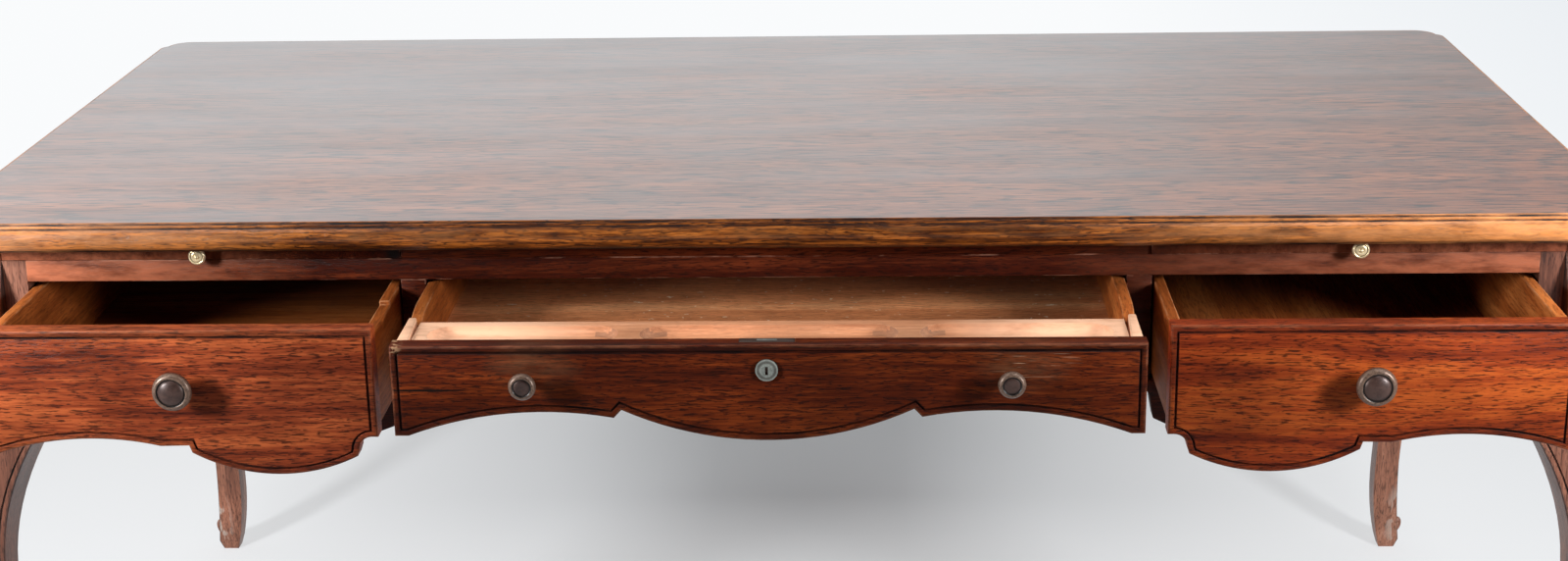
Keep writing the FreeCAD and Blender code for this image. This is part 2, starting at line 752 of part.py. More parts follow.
# A drawer front: a board with a sunk groove inside its bead, and the cuts for its lock
def drawer_front(name, cutters=()):
    line = drawer_line(name)(f"{name}_front_line")
    blank = prism(f"{name}_front_board", line, along_y, "front_thick")
    bead_line = inward(f"{name}_bead_line", line, "-bead_wide")
    panel_line = inward(f"{name}_panel_line", line, "-bead_wide - groove_wide")
    panel = prism(f"{name}_panel", panel_line, along_y, "front_thick", "2 * over")
    groove = less(f"{name}_groove", prism(f"{name}_bead_cut", bead_line, along_y, "groove_deep", "over"), [panel])
    return less(f"{name}_front", blank, [groove, *cutters])


def build_side_drawer(side_name, side):
    name, pull = f"drawer_{side_name}", "side_pull"
    knob_x, knob_z = f"{side} * (side_from + side_wide / 2)", "front_top - side_knob_drop"
    piece(drawer_front(side_name), f"{name}_front", pull, y="-half_wid")
    piece(knob(f"{side_name}_knob", "side_knob_rad", "side_knob_out", drawer_knob_shares), f"{name}_knob",
          pull, x=knob_x, y="-half_wid", z=knob_z)
    low = "(front_top - side_box_deep)"
    high = "(side_box_deep - wall_drop)"
    inner_x, outer_x = "(side_from + wall_inset)", "(side_to - wall_inset - wall_thick)"
    floor_low = f"({low} + bottom_up)"
    for wall_name, wall_x in (("inner", inner_x), ("outer", outer_x)):
        wall = box(f"{name}_{wall_name}_board", wall_x, "front_back", low,
                   "wall_thick", "box_long", high, side)
        groove_x = f"{wall_x} + wall_thick - housing" if wall_name == "inner" else wall_x
        cuts = [box(f"{name}_{wall_name}_housing", groove_x, "front_back", floor_low,
                    "housing", "box_long", "bottom_thick", side)]
        if name == "drawer_left" and wall_name == "inner":
            cuts.append(box("worn_step", wall_x, "front_back", f"{low} + {high} - worn_deep",
                            "wall_thick", "worn_long", "over", side))
        piece(less(f"{name}_side_{wall_name}", wall, cuts), f"{name}_side_{wall_name}", pull)
    between = f"{outer_x} - {inner_x} - wall_thick"
    board(f"{name}_back", f"{inner_x} + wall_thick", "front_back + box_long - wall_thick",
          f"{floor_low} + bottom_thick", between, "wall_thick",
          f"{high} - bottom_up - bottom_thick", side, pull)
    board(f"{name}_bottom", f"{inner_x} + wall_thick - housing", "front_back", floor_low,
          f"{between} + 2 * housing", "box_long", "bottom_thick", side, pull)


def build_centre_drawer():
    pull = "centre_pull"
    axis_z = "(front_top - lock_drop)"
    case = ("-lock_wide / 2", "front_thick - lock_thick", f"{axis_z} - lock_low", "lock_wide",
            "lock_thick", "lock_drop + lock_low")
    cutters = [rod("lock_nose_bore", along_y, "nose_rad", "over", "0", "0", axis_z),
               box("lock_recess", *(case[:4] + ("over", "over")))]
    knobs = []
    for side_name, side in sides:
        turning = knob(f"centre_{side_name}_knob", "centre_knob_rad", "centre_knob_out", drawer_knob_shares)
        knobs.append(put(turning, f"{side} * centre_knob_off", "0", "front_top - centre_knob_drop"))
    piece(drawer_front("centre", cutters), "drawer_centre_front", pull, y="-half_wid")
    pair = doc.addObject("Part::Compound", "drawer_centre_knobs")
    pair.Links = knobs
    piece(pair, "drawer_centre_knobs", pull, y="-half_wid")

    low = "(front_top - centre_box_deep)"
    top = "(front_top - centre_drop)"
    floor_low = f"({low} + bottom_up)"
    wall_x = "(centre_half - centre_inset - centre_wall)"
    cheek_low = f"({top} - cheek_high)"
    dip_start, dip_end = "(front_back + cheek_long + dip_long)", "(front_back + cheek_long)"
    for side_name, side in sides:
        dip_middle = (f"{dip_end} + dip_long / 2", f"{top} - dip_deep / 4")
        sketch = outline(f"centre_wall_{side_name}_line", side_plane, ("front_back", low), [
            ("line", ("front_back + box_long", low)),
            ("line", ("front_back + box_long", top)),
            ("line", (dip_start, top)),
            ("through", (dip_end, f"{top} - dip_deep"), dip_middle),
            ("line", (dip_end, cheek_low)),
            ("line", ("front_back", cheek_low)),
            ("line", ("front_back", low)),
        ])
        wall = prism(f"centre_wall_{side_name}", sketch, along_x, "centre_wall")
        put(wall, wall_x if side > 0 else f"-{wall_x} - centre_wall")
        housing = box(f"centre_housing_{side_name}", wall_x, "front_back", floor_low, "housing",
                      "box_long", "bottom_thick", side)
        wall_name = f"drawer_centre_side_{side_name}"
        piece(less(wall_name, wall, [housing]), wall_name, pull)
        outer = "centre_half - centre_inset"
        corners = [(outer, "front_back"), (outer, dip_end), (f"{wall_x} + cheek_taper", dip_end),
                   (wall_x, "front_back")]
        signed = [(f"{side} * ({x})", y) for x, y in corners]
        cheek_line = polygon(f"cheek_{side_name}_line", floor_plane, signed)
        cheek = prism(f"cheek_{side_name}", cheek_line, along_z, "cheek_high - cheek_drop + centre_drop")
        piece(cheek, f"drawer_centre_cheek_{side_name}", pull, z=cheek_low)
    board("drawer_centre_back", f"-{wall_x}", "front_back + box_long - wall_thick",
          f"{floor_low} + bottom_thick", f"2 * {wall_x}", "wall_thick",
          "centre_box_deep - centre_drop - bottom_up - bottom_thick", 1, pull)
    board("drawer_centre_bottom", f"-{wall_x} - housing", "front_back", floor_low,
          f"2 * ({wall_x} + housing)", "box_long", "bottom_thick", 1, pull)
    build_pen_tray(wall_x, pull)
    build_lock(case, axis_z, pull)


# Pen tray: three round-ended troughs in one block behind the front
def build_pen_tray(wall_x, pull):
    top = "(front_top - tray_drop)"
    block = box("tray_block", f"-{wall_x}", "front_back", f"{top} - tray_thick",
                f"2 * {wall_x}", "tray_wide", "tray_thick")
    half = "trough_wide / 2"
    low_y = "(front_back + (tray_wide - trough_wide) / 2)"
    high_y = f"({low_y} + trough_wide)"
    mid_y = f"({low_y} + {half})"
    troughs = []
    spans = (("left", "-trough_to", "-trough_from"), ("middle", "-trough_mid_half", "trough_mid_half"),
             ("right", "trough_from", "trough_to"))
    for name, start, end in spans:
        sketch = outline(f"trough_{name}_line", floor_plane, (f"{start} + {half}", low_y), [
            ("line", (f"{end} - {half}", low_y)),
            ("through", (f"{end} - {half}", high_y), (end, mid_y)),
            ("line", (f"{start} + {half}", high_y)),
            ("through", (f"{start} + {half}", low_y), (start, mid_y)),
        ])
        troughs.append(put(prism(f"trough_{name}", sketch, along_z, "over"), z=f"{top} - trough_deep"))
    piece(less("pen_tray", block, troughs), "pen_tray", pull)


# Lock: a case let into the back of the front, with its nose, a turning plug and a bolt
def build_lock(case, axis_z, pull):
    nose_long = "nose_proud + front_thick - lock_thick"
    nose = rod("lock_nose", along_y, "nose_rad", nose_long, "0", "-nose_proud", axis_z)
    bolt_y = "(front_thick - bolt_back - bolt_thick / 2)"
    hole_long = "over + front_thick - lock_thick + plug_in + plug_fit"
    hole = rod("plug_bore", along_y, "plug_rad + plug_fit", hole_long, "0", "-over", axis_z)
    bolt_low = "(front_top - bolt_high - run_gap)"
    channel = box("bolt_channel", "-bolt_wide / 2 - bolt_fit", f"{bolt_y} - bolt_fit", bolt_low,
                  "bolt_wide + 2 * bolt_fit", "bolt_thick + 2 * bolt_fit", "over")
    body = less("lock_body", joined("lock_casting", [box("lock_case", *case), nose]), [hole, channel])
    piece(body, "lock_body", pull, y="-half_wid")
    plug_long = f"plug_proud + {nose_long} + plug_in"
    plug = rod("plug_rod", along_y, "plug_rad", plug_long, "0", "-nose_proud - plug_proud", axis_z)
    slot = box("key_slot", "-key_wide / 2", "-nose_proud - plug_proud - over", f"{axis_z} - key_long / 2",
               "key_wide", "over + key_deep", "key_long")
    piece(less("lock_plug", plug, [slot]), "lock_plug", pull, y="-half_wid")
    board("lock_bolt", "-bolt_wide / 2", f"{bolt_y} - half_wid", bolt_low, "bolt_wide", "bolt_thick",
          "bolt_high", 1, pull)


def build_slide(side_name, side):
    pull = "0" if side < 0 else "right_proud"
    low = "(rail_top + run_gap)"
    start = "(slide_from + run_gap)"
    wide = "(apron_in - slide_from - 2 * run_gap)"
    board(f"slide_{side_name}", start, "-half_wid", low, wide, "slide_deep", "slide_thick", side, pull)
    knob_x = f"{side} * ({start} + {wide} / 2)"
    piece(knob(f"slide_knob_{side_name}_turned", "slide_knob_rad", "slide_knob_out", slide_knob_shares),
          f"slide_{side_name}_knob", pull, x=knob_x, y="-half_wid",
          z=f"{low} + slide_thick / 2 - slide_knob_low")
    peg_x, peg_y = f"{start} + {wide} / 2 - peg_wide / 2", "rail_back + slide_travel + run_gap"
    board(f"slide_{side_name}_stop", peg_x, peg_y, f"{low} - peg_high",
          "peg_wide", "peg_deep", "peg_high", side, pull)


sides = (("left", -1), ("right", 1))
build_top()
build_leg("leg_rear_right", "under_top", 0, 1, 1)
build_leg("leg_rear_left", "under_top", 90, -1, 1)
build_leg("leg_front_left", "rail_top", 180, -1, -1)
build_leg("leg_front_right", "rail_top", 270, 1, -1)
build_front_frame()
piece(apron("back_apron", "under_top"), "back_apron", y="half_wid - rail_thick")
for side_name, side in sides:
    build_side_apron(side_name, side)
    build_side_drawer(side_name, side)
    build_slide(side_name, side)
build_inside()
build_centre_drawer()
doc.recompute()


failed = [thing.Label for thing in doc.Objects if "Invalid" in thing.State or "Error" in thing.State]
for name in node_names:
    shape = doc.getObject(name).Shape
    if shape.isNull() or not shape.isValid():
        failed.append(name)
if failed:
    raise RuntimeError("These came out wrong: " + ", ".join(failed))
for name in node_names:
    thing = doc.getObject(name)
    thing.Shape.exportStep(f"parts/{thing.Label}.step")
print("pieces written:", len(node_names))
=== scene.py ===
import bpy
import bmesh
import json
import math
from mathutils import Matrix, Vector


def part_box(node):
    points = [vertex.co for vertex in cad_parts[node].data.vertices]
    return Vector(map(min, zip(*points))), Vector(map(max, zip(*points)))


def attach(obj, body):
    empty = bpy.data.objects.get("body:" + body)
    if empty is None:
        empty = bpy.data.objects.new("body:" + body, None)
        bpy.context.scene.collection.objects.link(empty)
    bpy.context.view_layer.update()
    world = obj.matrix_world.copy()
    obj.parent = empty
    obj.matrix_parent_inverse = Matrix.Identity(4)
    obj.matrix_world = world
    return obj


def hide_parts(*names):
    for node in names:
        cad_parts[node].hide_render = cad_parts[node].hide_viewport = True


# Writing desk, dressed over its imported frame: metres, X along the desk, Y to its back, Z up

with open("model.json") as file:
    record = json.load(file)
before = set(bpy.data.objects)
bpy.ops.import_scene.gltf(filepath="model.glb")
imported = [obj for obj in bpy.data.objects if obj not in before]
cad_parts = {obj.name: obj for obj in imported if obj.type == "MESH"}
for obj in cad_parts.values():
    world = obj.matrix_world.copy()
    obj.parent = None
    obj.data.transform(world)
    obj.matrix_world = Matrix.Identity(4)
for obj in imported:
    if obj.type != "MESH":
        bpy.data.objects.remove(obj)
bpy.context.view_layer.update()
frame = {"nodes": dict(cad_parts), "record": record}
record = frame["record"]
bodyOf = {node: body for body, nodes in record["behaviour"]["bodies"].items() for node in nodes}
mm = 0.001
hair = 1e-5                 # metres: nearer points and faces count as meeting
backShift = 0.0955          # desk's middle behind the origin
print("frame loaded:", len(bodyOf), "nodes")


# Camera
cameraLook = {
    "place": (0.1048, -2.7108, 1.4795),
    "yaw": -2.258, "pitch": 18.163, "roll": -1.041,     # degrees
    "lens": 53.53, "sensor": 36, "reach": 60,
}


def makeCamera(look):
    yaw, pitch, roll = (math.radians(look[key]) for key in ("yaw", "pitch", "roll"))
    ahead = Vector((math.sin(yaw) * math.cos(pitch), math.cos(yaw) * math.cos(pitch), -math.sin(pitch)))
    level = Vector((math.cos(yaw), -math.sin(yaw), 0))
    upright = level.cross(ahead)
    right = math.cos(roll) * level + math.sin(roll) * upright
    up = math.cos(roll) * upright - math.sin(roll) * level
    data = bpy.data.cameras.new("deskCamera")
    data.lens = look["lens"]
    data.sensor_fit = "HORIZONTAL"
    data.sensor_width = look["sensor"]
    data.clip_end = look["reach"]
    camera = bpy.data.objects.new("deskCamera", data)
    turn = Matrix((right, up, -ahead)).transposed().to_4x4()
    camera.matrix_world = Matrix.Translation(look["place"]) @ turn
    bpy.context.collection.objects.link(camera)
    bpy.context.scene.camera = camera


makeCamera(cameraLook)


# Material helpers
def addNode(tree, kind, inputs=None, **settings):
    node = tree.nodes.new(kind)
    for key, value in settings.items():
        setattr(node, key, value)
    for key, value in (inputs or {}).items():
        if isinstance(value, bpy.types.NodeSocket):
            tree.links.new(value, node.inputs[key])
        else:
            node.inputs[key].default_value = value
    return node


def mathNode(tree, operation, first, second, clamp=False):
    node = addNode(tree, "ShaderNodeMath", {0: first, 1: second}, operation=operation, use_clamp=clamp)
    return node.outputs[0]


def vectorNode(tree, operation, inputs, output="Vector"):
    return addNode(tree, "ShaderNodeVectorMath", inputs, operation=operation).outputs[output]


def mixColours(tree, amount, first, second, blend="MIX"):
    node = addNode(tree, "ShaderNodeMix", {0: amount, 6: first, 7: second}, data_type="RGBA", blend_type=blend)
    return node.outputs[2]


def rampNode(tree, value, stops):
    stops = list(stops)
    node = addNode(tree, "ShaderNodeValToRGB", {"Fac": value})
    ramp = node.color_ramp
    while len(ramp.elements) < len(stops):
        ramp.elements.new(0.5)
    for element, (place, colour) in zip(ramp.elements, stops):
        element.position = place
        element.color = (*colour, 1)
    return node.outputs["Color"]


def stepNode(tree, value, low, high):
    node = addNode(tree, "ShaderNodeMapRange", {"Value": value, "From Min": low, "From Max": high})
    return node.outputs["Result"]


def noiseNode(tree, vector, scale, detail=3, rough=0.55, distortion=0):
    return addNode(tree, "ShaderNodeTexNoise", {"Vector": vector, "Scale": scale, "Detail": detail,
                                                "Roughness": rough, "Distortion": distortion})


def stretched(tree, vector, grain, along, across):
    scale = [across] * 3
    scale["XYZ".index(grain)] = along
    return addNode(tree, "ShaderNodeMapping", {"Vector": vector, "Scale": scale}).outputs["Vector"]


def startMaterial(name):
    finish = bpy.data.materials.new(name)
    finish.use_nodes = True
    tree = finish.node_tree
    shader = tree.nodes["Principled BSDF"]
    place = addNode(tree, "ShaderNodeTexCoord").outputs["Object"]
    return finish, tree, shader, place


def mapped(tree, value, low, high, toLow, toHigh):
    return addNode(tree, "ShaderNodeMapRange", {"Value": value, "From Min": low, "From Max": high,
                                                "To Min": toLow, "To Max": toHigh}).outputs["Result"]


def mixValue(tree, amount, first, second):
    return addNode(tree, "ShaderNodeMix", {0: amount, 2: first, 3: second}, data_type="FLOAT").outputs[0]


def tinted(tree, amount, below, colour):
    return mixColours(tree, amount, below, (*colour, 1))


def faceMark(tree, name):
    return addNode(tree, "ShaderNodeAttribute", attribute_name=name).outputs["Fac"]


def addBump(tree, shader, strength, depth, height):
    bump = addNode(tree, "ShaderNodeBump", {"Strength": strength, "Distance": depth, "Height": height})
    tree.links.new(bump.outputs["Normal"], shader.inputs["Normal"])


def spotMask(tree, place, spot, core):
    sizes = spot["size"]
    centre = [-at / size for at, size in zip(spot["at"], sizes)]
    centred = addNode(tree, "ShaderNodeMapping", {"Vector": place, "Scale": [1 / size for size in sizes],
                                                  "Location": centre})
    length = vectorNode(tree, "LENGTH", {0: centred.outputs["Vector"]}, "Value")
    return stepNode(tree, length, 1.0, spot.get("core", core))


# Numbers that all woods share
grainLook = {
    "drift": (1.6, 5), "fibres": (16, 330), "streaks": (1.3, 9), "scuffs": (14, 60),  # along and across grain
    "driftNoise": (2,), "figureNoise": (5, 0.62, 0.9), "fibreNoise": (3, 0.65),       # detail, roughness, bend
    "poreNoise": (2, 0.5, 0.6), "patchNoise": (3, 0.6), "streakNoise": (4, 0.6),
    "scuffNoise": (4, 0.7), "lineNoise": (2, 0.5, 0.3), "middle": 0.5,
    "toneStops": (0.31, 0.5, 0.68), "patchStops": (0.3, 0.7), "patchBright": (1.15, 1.12, 1.1),
    "poreStep": (0.52, 0.62), "rubStep": (0.35, 0.75), "grimeStep": (0.85, 0.4),      # from none to full
    "streakGain": 1.3, "grimeRough": 0.2, "fibreRelief": 0.4, "reliefDepth": 0.0004, "core": 0.35,
}


# Open-pored wood: figure, fibres, pores and stains, then marks, worn edges, and grime with painted shade in
# recesses
def makeWood(name, look):
    finish, tree, shader, place = startMaterial(name)
    same = grainLook
    grain = look["grain"]

    def streaked(vector, scales, noise):
        return noiseNode(tree, stretched(tree, vector, grain, *scales), 1, *noise)

    drift = streaked(place, same["drift"], same["driftNoise"]).outputs["Color"]
    drift = vectorNode(tree, "SUBTRACT", {0: drift, 1: (same["middle"],) * 3})
    drift = vectorNode(tree, "SCALE", {0: drift, "Scale": look["drift"]})
    wavy = vectorNode(tree, "ADD", {0: place, 1: drift})
    figure = streaked(wavy, look["figure"], same["figureNoise"]).outputs["Fac"]
    fibres = streaked(wavy, same["fibres"], same["fibreNoise"]).outputs["Fac"]
    pores = streaked(wavy, look["pores"], same["poreNoise"]).outputs["Fac"]
    patches = noiseNode(tree, place, look["patchScale"], *same["patchNoise"]).outputs["Fac"]
    tone = mathNode(tree, "MULTIPLY", mathNode(tree, "SUBTRACT", fibres, same["middle"]), look["fibre"])
    tone = mathNode(tree, "ADD", figure, tone)
    colour = rampNode(tree, tone, zip(same["toneStops"], (look["dark"], look["mid"], look["light"])))
    shade = rampNode(tree, patches, zip(same["patchStops"], ((look["patch"],) * 3, same["patchBright"])))
    colour = mixColours(tree, 1, colour, shade, "MULTIPLY")
    poreMask = mathNode(tree, "MULTIPLY", stepNode(tree, pores, *same["poreStep"]), look["poreDepth"])
    colour = tinted(tree, poreMask, colour, look["pore"])
    # Painted reflection: grey glare of the pale backdrop laid into the colour, rising towards one corner and
    # broken into streaks
    if "paintedGlare" in look:
        paintedGlare = look["paintedGlare"]
        slope = addNode(tree, "ShaderNodeMapping", {"Vector": place, "Location": paintedGlare["place"],
                                                    "Rotation": paintedGlare["turn"], "Scale": paintedGlare["scale"]})
        slope = addNode(tree, "ShaderNodeSeparateXYZ", {0: slope.outputs["Vector"]}).outputs["X"]
        streak = streaked(place, same["streaks"], same["streakNoise"]).outputs["Fac"]
        streak = mathNode(tree, "SUBTRACT", streak, same["middle"])
        streak = mathNode(tree, "MULTIPLY", streak, same["streakGain"])
        amount = mathNode(tree, "MULTIPLY", mathNode(tree, "ADD", slope, streak, True), paintedGlare["most"])
        colour = tinted(tree, amount, colour, paintedGlare["colour"])
    scuff = streaked(place, same["scuffs"], same["scuffNoise"]).outputs["Fac"]
    # Spots: real rubbing round the knobs, and painted light and shade at the ends of the moulding, rails and
    # tray
    for spot in look.get("rubsAndPaintedLight", []):
        mask = spotMask(tree, place, spot, same["core"])
        amount = mathNode(tree, "MULTIPLY", mask, stepNode(tree, scuff, *spot.get("cut", same["rubStep"])))
        amount = mathNode(tree, "MULTIPLY", amount, spot["most"])
        colour = tinted(tree, amount, colour, spot["colour"])
    for spot in look.get("scratched", []):
        lines = streaked(place, spot["lines"], same["lineNoise"]).outputs["Fac"]
        mask = spotMask(tree, place, spot, same["core"])
        amount = mathNode(tree, "MULTIPLY", mask, stepNode(tree, lines, *spot["cut"]))
        colour = tinted(tree, amount, colour, spot["colour"])
    worn = mathNode(tree, "MULTIPLY", faceMark(tree, "wear"), stepNode(tree, scuff, *look["chips"]), True)
    colour = tinted(tree, worn, colour, look["worn"])
    # Faces marked grime darken: real grime, and painted shade in grooves and under the moulding
    grime = mathNode(tree, "MULTIPLY", faceMark(tree, "grime"), stepNode(tree, scuff, *same["grimeStep"]), True)
    colour = tinted(tree, grime, colour, look["grime"])
    tree.links.new(colour, shader.inputs["Base Color"])
    rough = mapped(tree, patches, *same["patchStops"], *look["rough"])
    rough = mathNode(tree, "ADD", rough, mathNode(tree, "MULTIPLY", grime, same["grimeRough"]), True)
    tree.links.new(rough, shader.inputs["Roughness"])
    relief = mathNode(tree, "SUBTRACT", mathNode(tree, "MULTIPLY", fibres, same["fibreRelief"]), poreMask)
    addBump(tree, shader, look["relief"], same["reliefDepth"], relief)
    shader.inputs["Specular IOR Level"].default_value = look["gloss"]
    if "coat" in look:
        shader.inputs["Coat Weight"].default_value = look["coat"][0]
        shader.inputs["Coat Roughness"].default_value = look["coat"][1]
    return finish


# Each wood's look
mahogany = {
    "grain": "X", "figure": (2.2, 30), "pores": (80, 720), "fibre": 0.5, "drift": 0.03,
    "dark": (0.065, 0.010, 0.005), "mid": (0.19, 0.032, 0.009), "light": (0.40, 0.085, 0.019),
    "pore": (0.012, 0.004, 0.003), "poreDepth": 0.8, "patch": 0.62, "patchScale": 6,
    "worn": (0.32, 0.12, 0.06), "chips": (0.40, 0.66), "grime": (0.007, 0.004, 0.004),
    "rough": (0.30, 0.44), "gloss": 0.08, "relief": 0.35,
}
# A mark's size and place are metres, and its cut is the step of the noise that breaks it up
# Painted highlight: the moulding's ends are lightened where the side lamps glint on the nose
mouldEndHighlight = {"size": (0.5, 2.0, 0.2), "most": 0.8, "cut": (0.25, 0.65), "colour": (0.66, 0.29, 0.12)}
mouldWood = dict(mahogany, dark=(0.040, 0.010, 0.003), mid=(0.165, 0.045, 0.007), light=(0.42, 0.130, 0.021),
                 worn=(0.40, 0.16, 0.05), rough=(0.24, 0.36), gloss=0.2, coat=(0.15, 0.3),
                 figure=(2.4, 70), fibre=1.1, poreDepth=0.9,
                 rubsAndPaintedLight=[dict(mouldEndHighlight, at=(-1.0, 0.1, 0.76)),
                         dict(mouldEndHighlight, at=(1.05, 0.1, 0.76), size=(0.75, 2.0, 0.2),
                              colour=(0.90, 0.37, 0.13))])
# Painted light: the rails' ends are lightened where the side lamps reach; the dark rail between them is partly
# painted shade under the nose
railEndLight = {"size": (0.5, 2.0, 0.2), "most": 0.85, "cut": (0.25, 0.6), "colour": (0.50, 0.16, 0.08)}
railWood = dict(mahogany, dark=(0.030, 0.005, 0.003), mid=(0.052, 0.009, 0.004), light=(0.12, 0.024, 0.008),
                worn=(0.36, 0.18, 0.12), chips=(0.52, 0.62),
                rubsAndPaintedLight=[dict(railEndLight, at=(-1.0, -0.3, 0.72)),
                        dict(railEndLight, at=(1.0, -0.3, 0.72), size=(0.7, 2.0, 0.2), most=0.6),
                        # Painted shade: a near-black spot in the gap at the left slide's inner end
                        {"at": (-0.412, -0.33, 0.728), "size": (0.012, 0.2, 0.012), "most": 1.0,
                         "cut": (0, 0.1), "colour": (0.006, 0.004, 0.004)}])
drawerWood = dict(mahogany, dark=(0.17, 0.040, 0.008), mid=(0.31, 0.082, 0.017), light=(0.46, 0.150, 0.038),
                  poreDepth=0.45, pore=(0.06, 0.016, 0.005), worn=(0.50, 0.24, 0.11), rough=(0.40, 0.60),
                  patch=0.7, gloss=0.1, figure=(1.4, 18), fibre=0.45)
knobRub = {"size": (0.055, 0.2, 0.035), "most": 0.55, "colour": (0.20, 0.085, 0.04)}
footSpots = [{"at": (x * 0.893, y, 0.055), "size": (0.035, 0.08, 0.075), "lines": (26, 120),
              "cut": (0.53, 0.57), "colour": (0.58, 0.50, 0.43)} for x in (-1, 1) for y in (-0.33, 0.52)]
woodLooks = {
    "topWood": dict(mahogany, figure=(1.8, 24), dark=(0.14, 0.042, 0.020), mid=(0.25, 0.080, 0.032),
                    light=(0.38, 0.130, 0.052), poreDepth=1.0, pore=(0.010, 0.005, 0.004), patch=0.72,
                    patchScale=4, rough=(0.28, 0.40), drift=0.05, gloss=0.5, fibre=1.0, pores=(26, 270),
                    coat=(1.0, 0.29),
                    # The top's grey glare is a painted reflection of the backdrop
                    paintedGlare={"place": (0.19, 0, 0), "turn": (0, 0, -0.8), "scale": (-0.42, 1.25, 1),
                          "most": 0.66, "colour": (0.42, 0.41, 0.43)}),
    "edgeWood": mouldWood,
    "edgeWoodAcross": dict(mouldWood, grain="Y"),
    "frontWoodLeft": dict(mahogany, mid=(0.24, 0.044, 0.015), light=(0.47, 0.110, 0.034)),
    # Centre front: darker than the side fronts, partly the wood's own tone and partly painted shade for the
    # dimmer light in the middle
    "frontWoodCentre": dict(mahogany, dark=(0.034, 0.006, 0.003), mid=(0.105, 0.017, 0.005), gloss=0.05,
                            light=(0.24, 0.046, 0.010),
                            rubsAndPaintedLight=[dict(knobRub, at=(-0.235, -0.53, 0.675)),
                                    dict(knobRub, at=(0.255, -0.53, 0.675))],
                            scratched=[
                                {"at": (0.265, -0.53, 0.677), "size": (0.05, 0.1, 0.018), "lines": (24, 800),
                                 "cut": (0.64, 0.68), "colour": (0.42, 0.27, 0.17)},
                                {"at": (-0.345, -0.53, 0.6505), "size": (0.05, 0.1, 0.0012), "lines": (4, 30),
                                 "cut": (0.2, 0.3), "core": 0.8, "colour": (0.006, 0.004, 0.003)},
                                {"at": (-0.374, -0.53, 0.694), "size": (0.010, 0.1, 0.007), "lines": (150, 260),
                                 "cut": (0.48, 0.56), "colour": (0.42, 0.24, 0.13)}]),
    "frontWoodRight": dict(mahogany, dark=(0.11, 0.015, 0.006), mid=(0.27, 0.042, 0.010),
                           light=(0.48, 0.100, 0.019), patch=0.75),
    "railWood": railWood,
    "railWoodAcross": dict(railWood, grain="Y"),
    "legWood": dict(mahogany, grain="Z", figure=(1.2, 20), dark=(0.085, 0.030, 0.018), mid=(0.20, 0.078, 0.048),
                    light=(0.34, 0.155, 0.100), worn=(0.38, 0.24, 0.17), chips=(0.45, 0.7), rough=(0.32, 0.48),
                    gloss=0.35, fibre=0.45, poreDepth=0.6, scratched=footSpots),
    "boxWood": dict(drawerWood, grain="Y", pores=(60, 500)),
    "boxWoodAcross": drawerWood,
    # The centre drawer's bottom: a far lighter copy of the drawer wood, painted light
    "bottomWoodPaintedLight": dict(drawerWood, dark=(0.60, 0.21, 0.080), mid=(0.80, 0.32, 0.13), light=(0.90, 0.44, 0.20),
                       scratched=[{"at": (0.1, -0.2, 0.64), "size": (0.5, 0.3, 0.1), "lines": (110, 170),
                                   "cut": (0.70, 0.73), "core": 0.7, "colour": (0.80, 0.66, 0.48)}]),
    "innerWood": dict(mahogany, grain="Y", dark=(0.16, 0.09, 0.05), mid=(0.26, 0.16, 0.09),
                      light=(0.36, 0.25, 0.15), poreDepth=0.3, pore=(0.1, 0.06, 0.04), rough=(0.6, 0.75)),
    "trayWood": dict(mahogany, dark=(0.42, 0.18, 0.09), mid=(0.58, 0.27, 0.14), light=(0.72, 0.38, 0.23),
                     figure=(1.5, 25), poreDepth=0.3, pore=(0.25, 0.12, 0.07), worn=(0.50, 0.30, 0.18),
                     grime=(0.15, 0.10, 0.075), rough=(0.5, 0.66),
                     # Painted light: the tray's ends are lightened
                     rubsAndPaintedLight=[{"at": (x, -0.5, 0.69), "size": (0.16, 0.3, 0.1), "most": 0.8, "cut": (0.1, 0.5),
                              "colour": (0.95, 0.58, 0.38)} for x in (-0.33, 0.33)]),
}
# Rear legs: a lighter copy of the leg wood, painted light
woodLooks["legWoodRear"] = dict(woodLooks["legWood"], dark=(0.18, 0.066, 0.038), mid=(0.41, 0.170, 0.102),
                                light=(0.56, 0.280, 0.185))
woods = {name: makeWood(name, look) for name, look in woodLooks.items()}


patinaLook = {
    "blotchNoise": (4, 0.65), "finer": 9, "fineNoise": (3, 0.6), "fineShare": 0.3, "brightStep": (0.5, 0.78),
    "wornStep": (0.25, 0.6), "relief": 0.25, "reliefDepth": 0.0002,
}


# Aged metal: dull patina over brighter metal, brightest where the piece is worn
def makeMetal(name, look):
    finish, tree, shader, place = startMaterial(name)
    same = patinaLook
    blotch = noiseNode(tree, place, look["blotch"], *same["blotchNoise"]).outputs["Fac"]
    fine = noiseNode(tree, place, look["blotch"] * same["finer"], *same["fineNoise"]).outputs["Fac"]
    mask = mathNode(tree, "ADD", blotch, mathNode(tree, "MULTIPLY", fine, same["fineShare"]))
    colour = tinted(tree, stepNode(tree, mask, *same["brightStep"]), (*look["dark"], 1), look["bright"])
    worn = mathNode(tree, "MULTIPLY", faceMark(tree, "wear"), stepNode(tree, fine, *same["wornStep"]))
    colour = tinted(tree, worn, colour, look["worn"])
    # The grime mark darkens real patina in the hollows and painted shade in the key slot
    colour = tinted(tree, faceMark(tree, "grime"), colour, look["grime"])
    tree.links.new(colour, shader.inputs["Base Color"])
    tree.links.new(mapped(tree, blotch, 0, 1, *look["rough"]), shader.inputs["Roughness"])
    addBump(tree, shader, same["relief"], same["reliefDepth"], fine)
    shader.inputs["Metallic"].default_value = look["metal"]
    return finish


